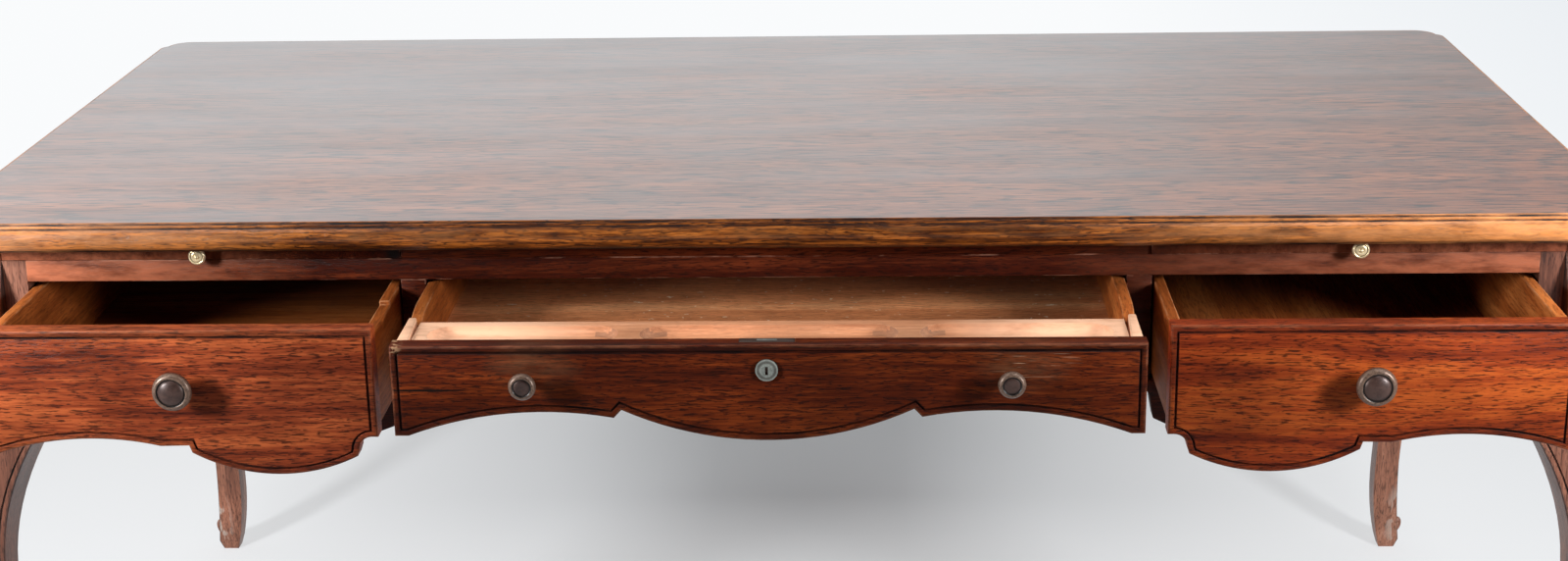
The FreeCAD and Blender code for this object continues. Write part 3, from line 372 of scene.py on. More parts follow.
metalLooks = {
    "knobMetal": {"blotch": 60, "dark": (0.026, 0.012, 0.010), "bright": (0.070, 0.036, 0.028),
                  "worn": (0.20, 0.125, 0.085), "grime": (0.006, 0.005, 0.004), "rough": (0.28, 0.5),
                  "metal": 0.35},
    "brassMetal": {"blotch": 90, "dark": (0.74, 0.58, 0.33), "bright": (0.95, 0.80, 0.52),
                   "worn": (0.95, 0.82, 0.55), "grime": (0.10, 0.07, 0.035), "rough": (0.25, 0.45),
                   "metal": 0.55},
    "lockMetal": {"blotch": 120, "dark": (0.15, 0.165, 0.15), "bright": (0.27, 0.29, 0.26),
                  "worn": (0.48, 0.50, 0.45), "grime": (0.040, 0.018, 0.010), "rough": (0.35, 0.55),
                  "metal": 0.5},
}
metals = {name: makeMetal(name, look) for name, look in metalLooks.items()}
print("finishes made:", len(woods) + len(metals))


# Mesh helpers
flatTurn = 1.2              # degrees: faces that turn less are one
sharpLeast = 28             # degrees: edges that turn more are sharp
stripShare = 2.2            # a rounding's strips are no wider than this many times its width


def newMesh():
    made = bmesh.new()
    made.faces.layers.float.new("wear")
    made.faces.layers.float.new("grime")
    return made


def meshOf(node):
    made = bmesh.new()
    made.from_mesh(frame["nodes"][node].data)
    bmesh.ops.remove_doubles(made, verts=made.verts, dist=2 * hair)
    bmesh.ops.dissolve_limit(made, angle_limit=math.radians(flatTurn), verts=made.verts, edges=made.edges)
    made.normal_update()
    made.faces.layers.float.new("wear")
    made.faces.layers.float.new("grime")
    return made


def markFaces(made, layerName, faces, amount):
    layer = made.faces.layers.float[layerName]
    for face in faces:
        if face.is_valid:
            face[layer] = amount


def roundEdges(made, edges, width, segments=2, wear=0.0):
    valid = [edge for edge in edges if edge.is_valid]
    result = bmesh.ops.bevel(made, geom=valid, offset=width, offset_type="OFFSET", segments=segments,
                             profile=0.5, affect="EDGES", clamp_overlap=True, material=-1)
    # The operator also returns the wide faces of boards
    narrow = [face for face in result["faces"]
              if face.calc_area() < stripShare * width * max(edge.calc_length() for edge in face.edges)]
    markFaces(made, "wear", narrow, wear)
    return narrow


def sharpEdges(made, least=sharpLeast):
    return [edge for edge in made.edges if len(edge.link_faces) == 2
            and edge.calc_face_angle(0) > math.radians(least)]


def finishPiece(made, node, ending, materials, smooth=32, recalc=False):
    name = f"{node.replace('_', '-')}-{ending}"
    if recalc:
        bmesh.ops.recalc_face_normals(made, faces=made.faces)
    mesh = bpy.data.meshes.new(name)
    made.to_mesh(mesh)
    made.free()
    mesh.shade_smooth()
    mesh.set_sharp_from_angle(angle=math.radians(smooth))
    piece = bpy.data.objects.new(name, mesh)
    bpy.context.collection.objects.link(piece)
    for material in materials:
        mesh.materials.append(material)
    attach(piece, bodyOf[node])
    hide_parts(node)


def dressNode(node, material):
    for slot in frame["nodes"][node].material_slots:
        slot.material = material


# Boards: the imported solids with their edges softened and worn; each board's wood and rounding in mm
softBoards = {
    "front_rail": ("railWood", 1.0), "centre_filler": ("railWood", 0.8),
    "divider_left": ("railWood", 0.8), "divider_right": ("railWood", 0.8),
    "front_apron": ("railWood", 1.5), "back_apron": ("railWood", 1.5),
    "side_apron_left": ("railWoodAcross", 1.5), "side_apron_right": ("railWoodAcross", 1.5),
    "slide_left": ("railWoodAcross", 1.0), "slide_right": ("railWoodAcross", 1.0),
    "slide_left_stop": ("innerWood", 1.0), "slide_right_stop": ("innerWood", 1.0),
    "drawer_left_side_inner": ("boxWood", 1.4), "drawer_left_side_outer": ("boxWood", 1.4),
    "drawer_right_side_inner": ("boxWood", 1.4), "drawer_right_side_outer": ("boxWood", 1.4),
    "drawer_centre_side_left": ("boxWood", 1.4), "drawer_centre_side_right": ("boxWood", 1.4),
    "drawer_left_back": ("boxWoodAcross", 1.0), "drawer_right_back": ("boxWoodAcross", 1.0),
    "drawer_centre_back": ("boxWoodAcross", 1.0),
    "drawer_centre_cheek_left": ("trayWood", 1.4), "drawer_centre_cheek_right": ("trayWood", 1.4),
}
boardWear = 0.7             # on the rounded edges
for node, (wood, width) in softBoards.items():
    made = meshOf(node)
    roundEdges(made, sharpEdges(made), width * mm, wear=boardWear)
    finishPiece(made, node, "soft", [woods[wood]])
print("boards softened:", len(softBoards))

# Boards and lock metal that stay as packed
plainBoards = {
    "top_panel": "topWood", "drawer_left_bottom": "boxWoodAcross", "drawer_right_bottom": "boxWood",
    "drawer_centre_bottom": "bottomWoodPaintedLight", "partition_left": "innerWood", "partition_right": "innerWood",
    "runner_left_inner": "innerWood", "runner_left_outer": "innerWood", "runner_right_inner": "innerWood",
    "runner_right_outer": "innerWood", "runner_centre_left": "innerWood", "runner_centre_right": "innerWood",
    "bearer_left_inner": "innerWood", "bearer_left_outer": "innerWood", "bearer_right_inner": "innerWood",
    "bearer_right_outer": "innerWood", "corner_blocks": "innerWood",
}
for node, wood in plainBoards.items():
    dressNode(node, woods[wood])
for node in ("lock_strike", "lock_bolt"):
    dressNode(node, metals["lockMetal"])


# Drawer fronts: round bead at the edge, groove inside it darkened with painted shade, flat panel
frontLook = {
    "beadRound": 2.4, "grooveRound": 1.3, "panelRound": 0.6, "otherRound": 0.7, "grooveDeep": 2.0,
    "backClear": 0.2,           # the shut drawer's front stays this far from its runners' ends
    "beadWearAndHighlight": 0.55, "otherWear": 0.6, "grooveShade": 1.0, "beadGrime": 0.5, "grooveRoundShade": 0.7,
    "panelRoundShade": 0.8, "facing": 0.99, "past": 0.1, "beadSteps": 4, "grooveSteps": 3,
    "woods": {"drawer_left_front": "frontWoodLeft", "drawer_centre_front": "frontWoodCentre",
              "drawer_right_front": "frontWoodRight"},
}


def makeFront(node, look):
    made = meshOf(node)
    frontY = min(vert.co.y for vert in made.verts)
    grooveY = frontY + look["grooveDeep"] * mm
    pastGroove = grooveY + look["past"] * mm
    backY = max(vert.co.y for vert in made.verts)
    for vert in made.verts:
        if vert.co.y > backY - hair:
            vert.co.y -= look["backClear"] * mm
    onFront = {face for face in made.faces
               if face.normal.y < -look["facing"] and abs(face.calc_center_median().y - frontY) < hair}
    lowest = min(vert.co.z for vert in made.verts)
    # The bead is the front's outermost face, joined from the lowest face on
    bead = set()
    waiting = [face for face in onFront if min(vert.co.z for vert in face.verts) < lowest + hair]
    while waiting:
        face = waiting.pop()
        if face in bead:
            continue
        bead.add(face)
        beside = {other for edge in face.edges for other in edge.link_faces}
        waiting += [other for other in beside if other in onFront and other not in bead]
    outer, beadInner, panelEdge, other = [], [], [], []
    for edge in sharpEdges(made):
        faces = set(edge.link_faces)
        deepest = max(vert.co.y for face in faces for vert in face.verts)
        if faces & bead:
            (outer if deepest > pastGroove else beadInner).append(edge)
        elif faces & onFront:
            panelEdge.append(edge)
        elif all(vert.co.y > pastGroove for vert in edge.verts):
            other.append(edge)
    # Painted shade: the groove's faces and the rounded edges that run into it are darkened
    grooveFaces = [face for face in made.faces if face not in onFront
                   and max(vert.co.y for vert in face.verts) < grooveY + hair]
    markFaces(made, "grime", grooveFaces, look["grooveShade"])
    markFaces(made, "grime", bead, look["beadGrime"])
    # The bead's rounded outer edge is lighter in places: partly wear, partly painted highlight
    roundEdges(made, outer, look["beadRound"] * mm, look["beadSteps"], look["beadWearAndHighlight"])
    softened = roundEdges(made, beadInner, look["grooveRound"] * mm, look["grooveSteps"])
    markFaces(made, "grime", softened, look["grooveRoundShade"])
    softened = roundEdges(made, panelEdge, look["panelRound"] * mm)
    markFaces(made, "grime", softened, look["panelRoundShade"])
    roundEdges(made, other, look["otherRound"] * mm, wear=look["otherWear"])
    finishPiece(made, node, "beaded", [woods[look["woods"][node]]])


for side in ("left", "centre", "right"):
    makeFront(f"drawer_{side}_front", frontLook)
print("drawer fronts made")


# Top moulding: fillet, groove, small bead, groove and a big nose, swept round the lobed top
mouldLook = {
    "halfLong": 900, "halfWide": 450, "high": 744, "thick": 31,
    "lobe": 26, "nick": 8, "run": 14, "lobeSteps": 12, "shoulderSteps": 7,
    "fillet": [(0, 0), (2.1, 0), (2.6, 0.5), (2.8, 3.0), (3.2, 3.3)],       # mm out of the top's field, mm down
    "bead": [(3.5, 2.9), (4.0, 2.4), (4.7, 2.25), (5.4, 2.6), (5.9, 3.4), (6.0, 4.6), (5.7, 5.6), (6.0, 6.1)],
    "noseCentre": (4.5, 18), "noseSize": (7.5, 11.7), "noseTurn": (-76, 78), "noseSteps": 12,
    "foot": [(5.4, 29.9), (4.8, 31), (0, 31)],
    # Faces this many mm down are darkened as painted shade: the two grooves and the underside of the nose
    "shadeDown": [(0.6, 2.35), (4.3, 6.9), (29, 32)], "wearDown": (8, 19), "wear": 0.3, "smooth": 50,
}


def mouldProfile(look):
    points = look["fillet"] + look["bead"]
    low, high = look["noseTurn"]
    for step in range(look["noseSteps"] + 1):
        turn = math.radians(low + (high - low) * step / look["noseSteps"])
        points.append((look["noseCentre"][0] + look["noseSize"][0] * math.cos(turn),
                       look["noseCentre"][1] + look["noseSize"][1] * math.sin(turn)))
    return points + look["foot"]


# A quarter of the moulding's side, with its lobe or shoulder, from its profile in the side's middle
def sweepPart(made, verts, straight, centre, turn, steps):
    edges = [made.edges.new((verts[i], verts[(i + 1) % len(verts)])) for i in range(len(verts))]
    result = bmesh.ops.extrude_edge_only(made, edges=edges)
    moved = [item for item in result["geom"] if isinstance(item, bmesh.types.BMVert)]
    bmesh.ops.translate(made, verts=moved, vec=straight)
    ring = [item for item in result["geom"] if isinstance(item, bmesh.types.BMEdge)
            and all(vert in moved for vert in item.verts)]
    result = bmesh.ops.spin(made, geom=moved + ring, cent=centre, axis=(0, 0, 1), dvec=(0, 0, 0),
                            angle=turn, steps=steps, use_merge=False, use_duplicate=False)
    last = [item for item in result["geom_last"] if isinstance(item, bmesh.types.BMEdge)]
    bmesh.ops.edgeloop_fill(made, edges=last)


def makeMoulding(look):
    profile = mouldProfile(look)
    halfLong, halfWide = look["halfLong"] * mm, look["halfWide"] * mm
    lobe, nick, run = look["lobe"] * mm, look["nick"] * mm, look["run"] * mm
    top = (look["high"] + look["thick"]) * mm
    shoulder = (nick ** 2 + run ** 2) / (2 * nick)
    made, ends = newMesh(), newMesh()
    verts = [made.verts.new((0, halfWide + out * mm, top - down * mm)) for out, down in profile]
    lobeX = halfLong - nick - lobe
    sweepPart(made, verts, (lobeX, 0, 0), (lobeX, halfWide - lobe, 0), -math.pi / 2, look["lobeSteps"])
    verts = [ends.verts.new((halfLong + out * mm, 0, top - down * mm)) for out, down in profile]
    endY = halfWide - lobe - run
    turn = math.asin(run / shoulder)
    sweepPart(ends, verts, (0, endY, 0), (halfLong - shoulder, endY, 0), turn, look["shoulderSteps"])
    for part, along, across in ((made, "X", "Y"), (ends, "Y", "X")):
        for axis in (along, across):
            geom = part.verts[:] + part.edges[:] + part.faces[:]
            bmesh.ops.mirror(part, geom=geom, axis=axis, merge_dist=-1 if axis == across else hair)
        bmesh.ops.remove_doubles(part, verts=part.verts, dist=hair)
        bmesh.ops.recalc_face_normals(part, faces=part.faces)
        for face in part.faces:
            down = (top - face.calc_center_median().z) / mm
            # Painted shade in the grooves and under the nose; the nose's upper half worn
            if any(low < down < high for low, high in look["shadeDown"]):
                markFaces(part, "grime", [face], 1.0)
            elif look["wearDown"][0] < down < look["wearDown"][1]:
                markFaces(part, "wear", [face], look["wear"])
        part.verts.index_update()
    other = bpy.data.meshes.new("mouldingEnds")
    for face in ends.faces:
        face.material_index = 1
    ends.to_mesh(other)
    ends.free()
    made.from_mesh(other)
    bpy.data.meshes.remove(other)
    bmesh.ops.translate(made, verts=made.verts, vec=(0, backShift, 0))
    finishPiece(made, "top_moulding", "nosed", [woods["edgeWood"], woods["edgeWoodAcross"]], look["smooth"])


makeMoulding(mouldLook)
print("moulding swept")


# Legs: one square section with a rounded arris and a bead, drawn out along the leg's own curves
legLook = {
    "woods": {-1: "legWood", 1: "legWoodRear"},
    # A point of the curves is mm out of the post's corner line and mm high
    "topRear": 744, "topFront": 722, "cornerX": 865, "cornerY": 415, "post": 48, "archLow": 525,
    "knee": (45.8, 500), "shinShare": 0.718, "ankle": (13, 125), "toe": (22, 14), "soleOut": 17,
    "soleIn": -5, "hock": (-21, 110), "hollowShare": 0.599, "calf": (2.2, 350),
    "kneeEdge": -22, "kneeTurn": 600, "arris": 7, "bead": 6.5, "beadProud": 1.15, "groove": 1.3,
    "footSteps": [0, 1.5, 5, 14, 22, 32, 44, 58, 74, 92, 110, 125],
    "legStep": 17, "lastStep": 1.5, "archStep": 0.5,
    "arrisKeep": 4, "arrisLeast": 1, "arrisThin": (2, 0.5),             # it narrows where the leg is thin
    "edgeRound": 0.4, "edgeBack": (2, 0.7), "startOut": 0.2, "beadArc": [(0.75, 0.2), (1, 0.5), (0.7, 0.82)],
    "grooveFlat": 1, "grooveEnd": 2.2, "belly": 0.4,
    "thinFrom": 1, "thinOver": 6, "fadeFrom": 135, "fadeOver": 60,      # where bead and grooves run out
    "beadLeast": 0.6, "beadFrom": 250, "beadOver": 200,
    "hollows": ({7, 8, 9}, {2, 3}), "arrisPlaces": {12, 13, 14}, "arrisWear": 0.45, "arrisSteps": 4,
    "rollMiddle": (12, 33), "rollSteps": 24, "smooth": 40,              # its points: mm along, radius
    "roll": [(15, 0), (15, 2.6), (14.3, 3.4), (13.6, 4.0), (13.6, 5.2), (14.5, 6.0), (15, 8.0), (14.5, 10.0),
             (13, 11.2), (10, 11.4), (5, 10.9), (0, 10.7)],
}


# Arc through two points whose centre lies at a given height
def swingAt(height, first, last, middle):
    centre = last[0] ** 2 - first[0] ** 2 + (last[1] - middle) ** 2 - (first[1] - middle) ** 2
    centre /= 2 * (last[0] - first[0])
    radius = math.hypot(first[0] - centre, first[1] - middle)
    reach = math.sqrt(max(radius ** 2 - (height - middle) ** 2, 0))
    return centre + math.copysign(reach, first[0] - centre)


def rising(value, start, over):
    return min(1, max(0, (value - start) / over))


def between(first, last, share):
    return (first[0] + share * (last[0] - first[0]), first[1] + share * (last[1] - first[1]))


def legOuter(height, top, look):
    shin = between(look["knee"], look["ankle"], look["shinShare"])
    if height > look["knee"][1]:
        return swingAt(height, (0, top), look["knee"], look["knee"][1])
    if height > shin[1]:
        return swingAt(height, look["knee"], shin, look["knee"][1])
    if height > look["ankle"][1]:
        return swingAt(height, shin, look["ankle"], look["ankle"][1])
    if height > look["toe"][1]:
        return swingAt(height, look["ankle"], look["toe"], look["ankle"][1])
    return look["soleOut"] + (look["toe"][0] - look["soleOut"]) * height / look["toe"][1]


def legInner(height, look):
    hollow = between(look["hock"], look["calf"], look["hollowShare"])
    if height > look["archLow"]:
        return -look["post"]
    if height > look["calf"][1]:
        return swingAt(height, look["calf"], (-look["post"], look["archLow"]), look["calf"][1])
    if height > hollow[1]:
        return swingAt(height, hollow, look["calf"], look["calf"][1])
    if height > look["hock"][1]:
        return swingAt(height, look["hock"], hollow, look["hock"][1])
    return swingAt(height, (look["soleIn"], 0), look["hock"], look["hock"][1])


def legRing(height, top, look):
    outer, inner = legOuter(height, top, look), legInner(height, look)
    onPost = height > look["archLow"]
    edge = inner
    if onPost:
        edge = look["kneeEdge"]
        if height < look["kneeTurn"]:
            edge = swingAt(height, (-look["post"], look["archLow"]), (edge, look["kneeTurn"]), look["kneeTurn"])
    fade = rising(outer, look["thinFrom"], look["thinOver"])
    fade *= rising(height, look["fadeFrom"], look["fadeOver"])
    proud, groove = look["beadProud"] * fade, look["groove"] * fade
    least = look["beadLeast"]
    wide = look["bead"] * (least + (1 - least) * rising(height, look["beadFrom"], look["beadOver"]))
    room = max(outer - edge - wide - look["arrisKeep"], look["arrisLeast"])
    arris = min(look["arris"], room, look["arrisThin"][0] + outer * look["arrisThin"][1])
    start = edge + look["edgeRound"]
    end = start + wide
    if onPost:
        side = [(0, inner), (0, edge)]
    else:
        side = [(outer - look["edgeBack"][0], inner), (outer - look["edgeBack"][1], inner + look["edgeRound"])]
    deep = max(outer - groove, 0)
    side.append((max(outer - groove, look["startOut"]), start))
    side += [(outer + proud * out, start + wide * across) for out, across in look["beadArc"]]
    side += [(deep, end), (deep, end + look["grooveFlat"]), (outer, end + look["grooveEnd"]),
             (outer + look["belly"] * fade, (end + outer - arris) / 2)]
    corner = []
    for step in range(look["arrisSteps"] + 1):
        turn = math.pi / 2 * step / look["arrisSteps"]
        corner.append((outer - arris + arris * math.cos(turn), outer - arris + arris * math.sin(turn)))
    return [(inner, inner)] + side + corner + [(across, out) for out, across in reversed(side)]


def makeLeg(node, xSign, ySign, look):
    top = look["topRear"] if ySign > 0 else look["topFront"]
    heights = list(look["footSteps"])
    while heights[-1] + look["legStep"] * look["lastStep"] < top:
        heights.append(heights[-1] + look["legStep"])
    heights = sorted(heights + [look["archLow"], look["archLow"] + look["archStep"], top])
    made = newMesh()
    index = made.verts.layers.int.new("place")

    def placed(point, height):
        return Vector((xSign * (look["cornerX"] + point[0]) * mm,
                       ySign * (look["cornerY"] + point[1]) * mm + backShift, height * mm))

    points = legRing(heights[0], top, look)
    verts = [made.verts.new(placed(point, heights[0])) for point in points]
    for number, vert in enumerate(verts):
        vert[index] = number
    ring = [made.edges.new((verts[i], verts[(i + 1) % len(verts)])) for i in range(len(verts))]
    bmesh.ops.edgeloop_fill(made, edges=ring)
    for height in heights[1:]:
        points = legRing(height, top, look)
        result = bmesh.ops.extrude_edge_only(made, edges=ring)
        raised = [item for item in result["geom"] if isinstance(item, bmesh.types.BMVert)]
        for vert in raised:
            vert.co = placed(points[vert[index]], height)
        ring = [item for item in result["geom"] if isinstance(item, bmesh.types.BMEdge)
                and item.verts[0] in raised and item.verts[1] in raised]
    bmesh.ops.edgeloop_fill(made, edges=ring)
    count = len(points)
    # Painted shade in the grooves beside the bead, wear on the rounded arris
    for face in made.faces:
        places = {min(vert[index], count - vert[index]) for vert in face.verts}
        if len(face.verts) == 4 and any(places <= hollow for hollow in look["hollows"]):
            markFaces(made, "grime", [face], 1.0)
        elif places & look["arrisPlaces"]:
            markFaces(made, "wear", [face], look["arrisWear"])
    # The scroll foot's roll
    out, high = look["rollMiddle"]
    middle = placed((out, out), high)
    axis = Vector((xSign, -ySign, 0)).normalized()
    profile = look["roll"] + [(-along, rad) for along, rad in reversed(look["roll"][:-1])]
    verts = [made.verts.new(middle + axis * along * mm + Vector((0, 0, rad * mm))) for along, rad in profile]
    edges = [made.edges.new(pair) for pair in zip(verts, verts[1:])]
    bmesh.ops.spin(made, geom=verts + edges, cent=middle, axis=axis, dvec=(0, 0, 0), angle=2 * math.pi,
                   steps=look["rollSteps"], use_merge=True)
    bmesh.ops.remove_doubles(made, verts=made.verts, dist=hair)
    finishPiece(made, node, "carved", [woods[look["woods"][ySign]]], look["smooth"], recalc=True)


for end, ySign in (("front", -1), ("rear", 1)):
    for side, xSign in (("left", -1), ("right", 1)):
        makeLeg(f"leg_{end}_{side}", xSign, ySign, legLook)
print("legs carved")


# Turned knobs: how far out of the front, and the radius there, in mm; "wider" multiplies the radii
knobLooks = {
    "side": {"turned": [(0, 8.5), (1.2, 9), (2.5, 8.2), (5, 6.6), (9, 6.4), (12, 8.5), (14.2, 13),
                        (15.5, 17.5), (17.5, 19.4), (20, 19.75), (22.5, 19.2), (24.5, 17.6),
                        (25.4, 15.8), (25.2, 14.6), (24.1, 13.9), (24.1, 13.2), (25.2, 12.6),
                        (26.6, 10.5), (27.9, 7), (28.8, 3.5), (29, 0)],
             "rim": 14.6, "groove": (12.9, 14.4), "from": 20, "wider": 1.038},
    "centre": {"turned": [(0, 6), (1, 6.3), (2.2, 5.6), (4.5, 4.6), (9, 4.8), (12, 7), (14, 11),
                          (16, 13.4), (18.5, 14), (21, 13.4), (22.8, 12), (23.6, 10.8), (23.5, 9.8),
                          (22.5, 9.2), (22.3, 8.4), (22.9, 7.6), (23.3, 5.5), (22.9, 2.8), (22.6, 0)],
               "rim": 9.6, "groove": (8.0, 9.5), "from": 15},
    "slide": {"turned": [(0, 4.5), (0.8, 4.7), (1.6, 3.6), (4, 3), (7, 3.6), (8.5, 6.5), (10, 8.8),
                         (11.5, 9.3), (13, 9.1), (14.2, 8.2), (14.4, 7.6), (13.7, 6.9), (13.7, 6.1),
                         (14.3, 5.4), (14.6, 4.2), (14.3, 2.8), (15.0, 2.4), (16.2, 1.4), (16.6, 0)],
              "rim": 7.4, "groove": (5.9, 7.1), "from": 9},
}
turnLook = {"steps": 44, "grime": 0.9, "wear": 0.8, "smooth": 50, "spread": 0.243}
knobMetals = {"drawer_left_knob": ("side", "knobMetal"), "drawer_right_knob": ("side", "knobMetal"),
              "slide_left_knob": ("slide", "brassMetal"), "slide_right_knob": ("slide", "brassMetal")}


def turnKnob(made, foot, look):
    before = set(made.faces)
    steps, wider = turnLook["steps"], look.get("wider", 1)
    verts = [made.verts.new(foot + Vector((0, -out * mm, rad * wider * mm))) for out, rad in look["turned"]]
    edges = [made.edges.new(pair) for pair in zip(verts, verts[1:])]
    bmesh.ops.spin(made, geom=verts + edges, cent=foot, axis=(0, 1, 0), dvec=(0, 0, 0), angle=2 * math.pi,
                   steps=steps, use_merge=True)
    bmesh.ops.remove_doubles(made, verts=made.verts, dist=hair)
    bmesh.ops.holes_fill(made, edges=[edge for edge in made.edges if edge.is_boundary], sides=steps)
    for face in set(made.faces) - before:
        middle = face.calc_center_median() - foot
        rad, out = math.hypot(middle.x, middle.z) / mm / wider, -middle.y / mm
        if look["groove"][0] < rad < look["groove"][1] and out > look["from"]:
            markFaces(made, "grime", [face], turnLook["grime"])
        elif rad > look["rim"] and out > look["from"]:
            markFaces(made, "wear", [face], turnLook["wear"])


def footOf(node):
    low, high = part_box(node)
    return Vector(((low[0] + high[0]) / 2, high[1], (low[2] + high[2]) / 2))


for node, (kind, metal) in knobMetals.items():
    made = newMesh()
    turnKnob(made, footOf(node), knobLooks[kind])
    finishPiece(made, node, "turned", [metals[metal]], turnLook["smooth"], recalc=True)
made = newMesh()
for xSign in (-1, 1):
    foot = footOf("drawer_centre_knobs")
    foot.x = xSign * turnLook["spread"]
    turnKnob(made, foot, knobLooks["centre"])
finishPiece(made, "drawer_centre_knobs", "turned", [metals["knobMetal"]], turnLook["smooth"], recalc=True)
print("knobs turned")


# Lock: cast ring and case, turning plug with its key slot; the plug's slot is widened to be seen, and its
# inside is darkened as painted shade
lockLook = {
    "ringWide": 1.5, "ringDeep": 0.7, "ringGrime": 0.55, "wear": 0.7, "high": 0.671,
    "slotWider": 1.5, "slotHalf": 1.0, "slotReach": 4.5, "darkHalf": 1.6, "darkReach": 4.2,
    "caseAbove": 0.6935, "caseBehind": -0.513, "round": {"lock_body": 0.5, "lock_plug": 0.3},
}


def makeLock(node, look):
    made = meshOf(node)
    frontY = min(vert.co.y for vert in made.verts)
    isPlug = node == "lock_plug"
    if isPlug:
        for vert in made.verts:
            onSide = abs(abs(vert.co.x) - look["slotHalf"] * mm) < hair
            if onSide and abs(vert.co.z - look["high"]) < look["slotReach"] * mm:
                vert.co.x *= look["slotWider"]
    else:
        rim = [face for face in made.faces if max(vert.co.y for vert in face.verts) < frontY + hair]
        bmesh.ops.inset_region(made, faces=rim, thickness=look["ringWide"] * mm, depth=-look["ringDeep"] * mm,
                               use_even_offset=True)
        markFaces(made, "grime", rim, look["ringGrime"])
    roundEdges(made, sharpEdges(made), look["round"][node] * mm, wear=look["wear"])
    for face in made.faces:
        middle = face.calc_center_median()
        # Inside the key slot: painted shade; the case's faces above and behind the front are darkened too
        if isPlug:
            inSlot = abs(middle.x) < look["darkHalf"] * mm and middle.y > frontY + hair
            dark = inSlot and abs(middle.z - look["high"]) < look["darkReach"] * mm
        else:
            dark = middle.z > look["caseAbove"] or middle.y > look["caseBehind"]
        if dark:
            markFaces(made, "grime", [face], 1.0)
    finishPiece(made, node, "cast", [metals["lockMetal"]])


for node in ("lock_body", "lock_plug"):
    makeLock(node, lockLook)


# Pen tray: three round-ended troughs with coved bottoms, grimy where the middle one meets the others
trayLook = {"cove": 7.5, "coveSteps": 5, "lip": 1.3, "lipSteps": 3, "lipWear": 0.6, "deep": 10, "steep": 60,
            "grime": 0.6, "grimeBelow": 1, "grimeAcross": (90, 180), "facing": 0.75, "smooth": 50}


def makeTray(look):
    made = meshOf("pen_tray")
    trayTop = max(vert.co.z for vert in made.verts)

    def edgesAt(height, least):
        return [edge for edge in sharpEdges(made, least)
                if all(abs(vert.co.z - height) < hair for vert in edge.verts)]

    floorEdges = edgesAt(trayTop - look["deep"] * mm, look["steep"])
    roundEdges(made, floorEdges, look["cove"] * mm, look["coveSteps"])
    roundEdges(made, edgesAt(trayTop, sharpLeast), look["lip"] * mm, look["lipSteps"], look["lipWear"])
    low, high = look["grimeAcross"]
    for face in made.faces:
        middle = face.calc_center_median()
        below = middle.z < trayTop - look["grimeBelow"] * mm
        if below and low * mm < abs(middle.x) < high * mm and abs(face.normal.y) < look["facing"]:
            markFaces(made, "grime", [face], look["grime"])
    finishPiece(made, "pen_tray", "coved", [woods["trayWood"]], look["smooth"])


makeTray(trayLook)
print("lock and pen tray made")


# Floor: pale, keeping the desk's shadow, with a painted shadow behind the desk, and whitest far from the desk
stageLook = {
    "colour": (0.80, 0.825, 0.85), "nearColour": (0.10, 0.10, 0.11), "rough": 0.7, "gloss": 0.2,
    "white": (0.975, 0.988, 1), "duller": (0.80, 0.84, 0.88),
    "shows": 0.68, "farShows": 0.97, "paintedShadowShows": 0.12, "nearShows": 0.8,     # how much of the white is seen
    "dull": (0.8, 3.0), "far": (1.7, 3.0), "near": (-0.3, -0.7), "half": 14,    # metres
    # The dim zone is a painted shadow: less white is seen there
    "middle": (0.95, 0.15), "behind": (0.2, 0.7),                               # the dim zone behind the desk
}


def makeStage(look):
    finish, tree, shader, place = startMaterial("studioFloor")
    shader.inputs["Roughness"].default_value = look["rough"]
    shader.inputs["Specular IOR Level"].default_value = look["gloss"]
    across = addNode(tree, "ShaderNodeSeparateXYZ", {0: place})
    near = stepNode(tree, across.outputs["Y"], *look["near"])
    tree.links.new(tinted(tree, near, (*look["colour"], 1), look["nearColour"]), shader.inputs["Base Color"])
    glow = tinted(tree, stepNode(tree, across.outputs["X"], *look["dull"]), (*look["white"], 1), look["duller"])
    light = addNode(tree, "ShaderNodeEmission", {"Color": glow, "Strength": 1.0})
    # Painted shadow: the white is turned down in the zone behind the desk
    middle = stepNode(tree, mathNode(tree, "ABSOLUTE", across.outputs["X"], 0), *look["middle"])
    middle = mathNode(tree, "MULTIPLY", middle, stepNode(tree, across.outputs["Y"], *look["behind"]))
    shows = mixValue(tree, middle, look["shows"], look["paintedShadowShows"])
    shows = mixValue(tree, near, shows, look["nearShows"])
    length = vectorNode(tree, "LENGTH", {0: place}, "Value")
    shows = mixValue(tree, stepNode(tree, length, *look["far"]), shows, look["farShows"])
    path = addNode(tree, "ShaderNodeLightPath")
    seen = mathNode(tree, "MAXIMUM", path.outputs["Is Camera Ray"], path.outputs["Is Glossy Ray"])
    seen = mathNode(tree, "MAXIMUM", seen, path.outputs["Is Transmission Ray"])
    amount = mathNode(tree, "MULTIPLY", seen, shows)
    mix = addNode(tree, "ShaderNodeMixShader", {0: amount, 1: shader.outputs[0], 2: light.outputs[0]})
    tree.links.new(mix.outputs[0], tree.nodes["Material Output"].inputs["Surface"])
    made = bmesh.new()
    bmesh.ops.create_grid(made, x_segments=1, y_segments=1, size=look["half"])
    mesh = bpy.data.meshes.new("studioFloor")
    made.to_mesh(mesh)
    made.free()
    mesh.materials.append(finish)
    floor = bpy.data.objects.new("studioFloor", mesh)
    bpy.context.collection.objects.link(floor)


makeStage(stageLook)

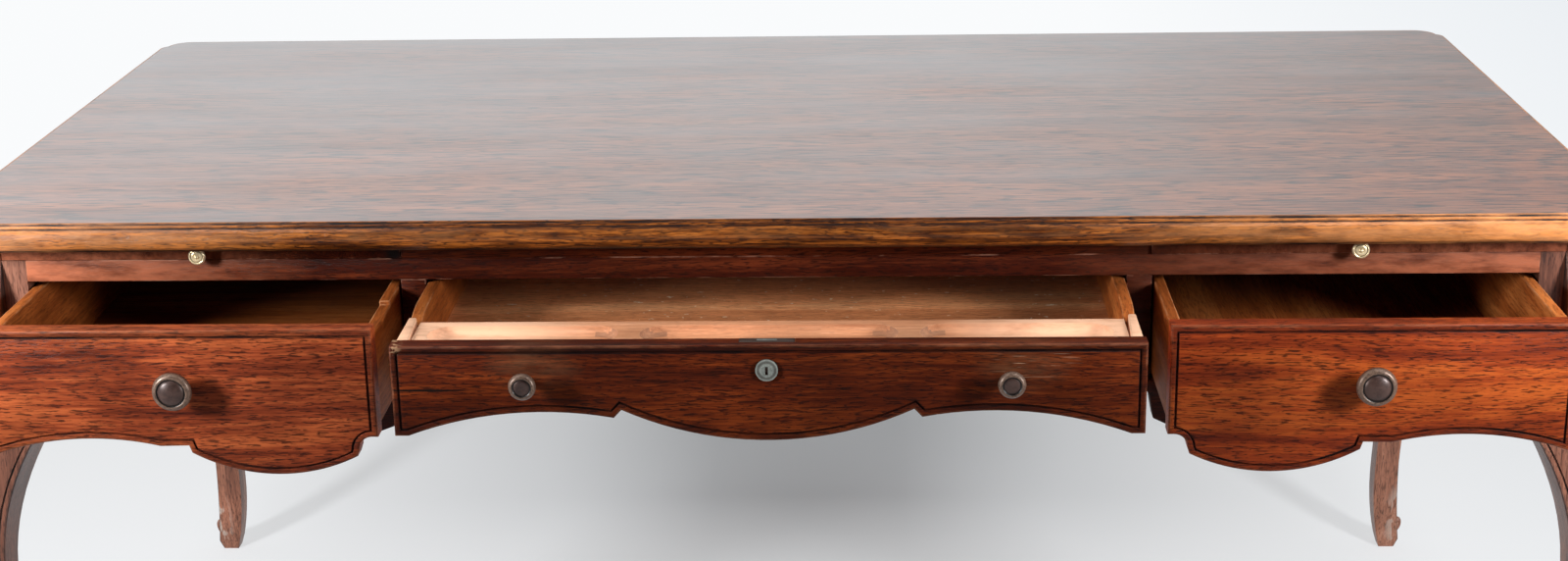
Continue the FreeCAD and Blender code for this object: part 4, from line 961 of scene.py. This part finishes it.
# Lamps: places and sizes in metres, power in watts
lampLooks = {
    "leftLamp": {"place": (-1.65, -1.2, 1.18), "aim": (-0.5, 0, 0.65), "size": (0.32, 0.5), "power": 42},
    "rightLamp": {"place": (1.65, -1.2, 1.18), "aim": (0.5, 0, 0.65), "size": (0.32, 0.5), "power": 36},
    "overLeftLamp": {"place": (-1.1, -0.75, 2.3), "aim": (-0.4, -0.4, 0.7), "size": (0.8, 0.5), "power": 7},
    "overRightLamp": {"place": (1.0, -0.75, 2.3), "aim": (0.4, -0.4, 0.7), "size": (0.8, 0.5), "power": 10},
}


def makeLamp(name, look):
    data = bpy.data.lights.new(name, "AREA")
    data.shape = "ELLIPSE"
    data.size, data.size_y = look["size"]
    data.energy = look["power"]
    lamp = bpy.data.objects.new(name, data)
    lamp.location = look["place"]
    aim = Vector(look["aim"]) - Vector(look["place"])
    lamp.rotation_euler = aim.to_track_quat("-Z", "Y").to_euler()
    bpy.context.collection.objects.link(lamp)


for name, look in lampLooks.items():
    makeLamp(name, look)


# Sky: white where the camera sees it, dimmer at the upper right, and dark on the camera's side of the room
skyLook = {
    "seen": 1.0, "mirrored": 1.0, "lights": 0.36, "tint": (0.97, 0.985, 1.0),
    "darkest": 0.06, "upShare": 0.15, "open": (-0.1, 0.3),
    "dim": 0.47, "dimAcross": (0.05, 0.26), "dimUp": (0.08, 0.2),
}


def makeSky(look):
    world = bpy.data.worlds.new("studioSky")
    bpy.context.scene.world = world
    world.use_nodes = True
    tree = world.node_tree
    shader = tree.nodes["Background"]
    way = addNode(tree, "ShaderNodeTexCoord").outputs["Generated"]
    way = addNode(tree, "ShaderNodeSeparateXYZ", {0: way})
    upward = mathNode(tree, "MULTIPLY", way.outputs["Z"], look["upShare"])
    openness = mapped(tree, mathNode(tree, "ADD", way.outputs["Y"], upward), *look["open"], look["darkest"], 1)
    dim = mathNode(tree, "MULTIPLY", stepNode(tree, way.outputs["X"], *look["dimAcross"]),
                   stepNode(tree, way.outputs["Z"], *look["dimUp"]))
    mirrored = mapped(tree, dim, 0, 1, look["mirrored"], look["dim"])
    path = addNode(tree, "ShaderNodeLightPath")
    glossy = mathNode(tree, "MAXIMUM", path.outputs["Is Transmission Ray"], path.outputs["Is Glossy Ray"])
    strength = mathNode(tree, "MULTIPLY", mixValue(tree, glossy, look["lights"], mirrored), openness)
    plain = mapped(tree, path.outputs["Is Camera Ray"], 0, 1, 0, look["seen"])
    shader.inputs["Color"].default_value = (*look["tint"], 1)
    tree.links.new(mathNode(tree, "MAXIMUM", strength, plain), shader.inputs["Strength"])


makeSky(skyLook)
bpy.context.scene.view_settings.view_transform = "Standard"
print("stage and lamps set")
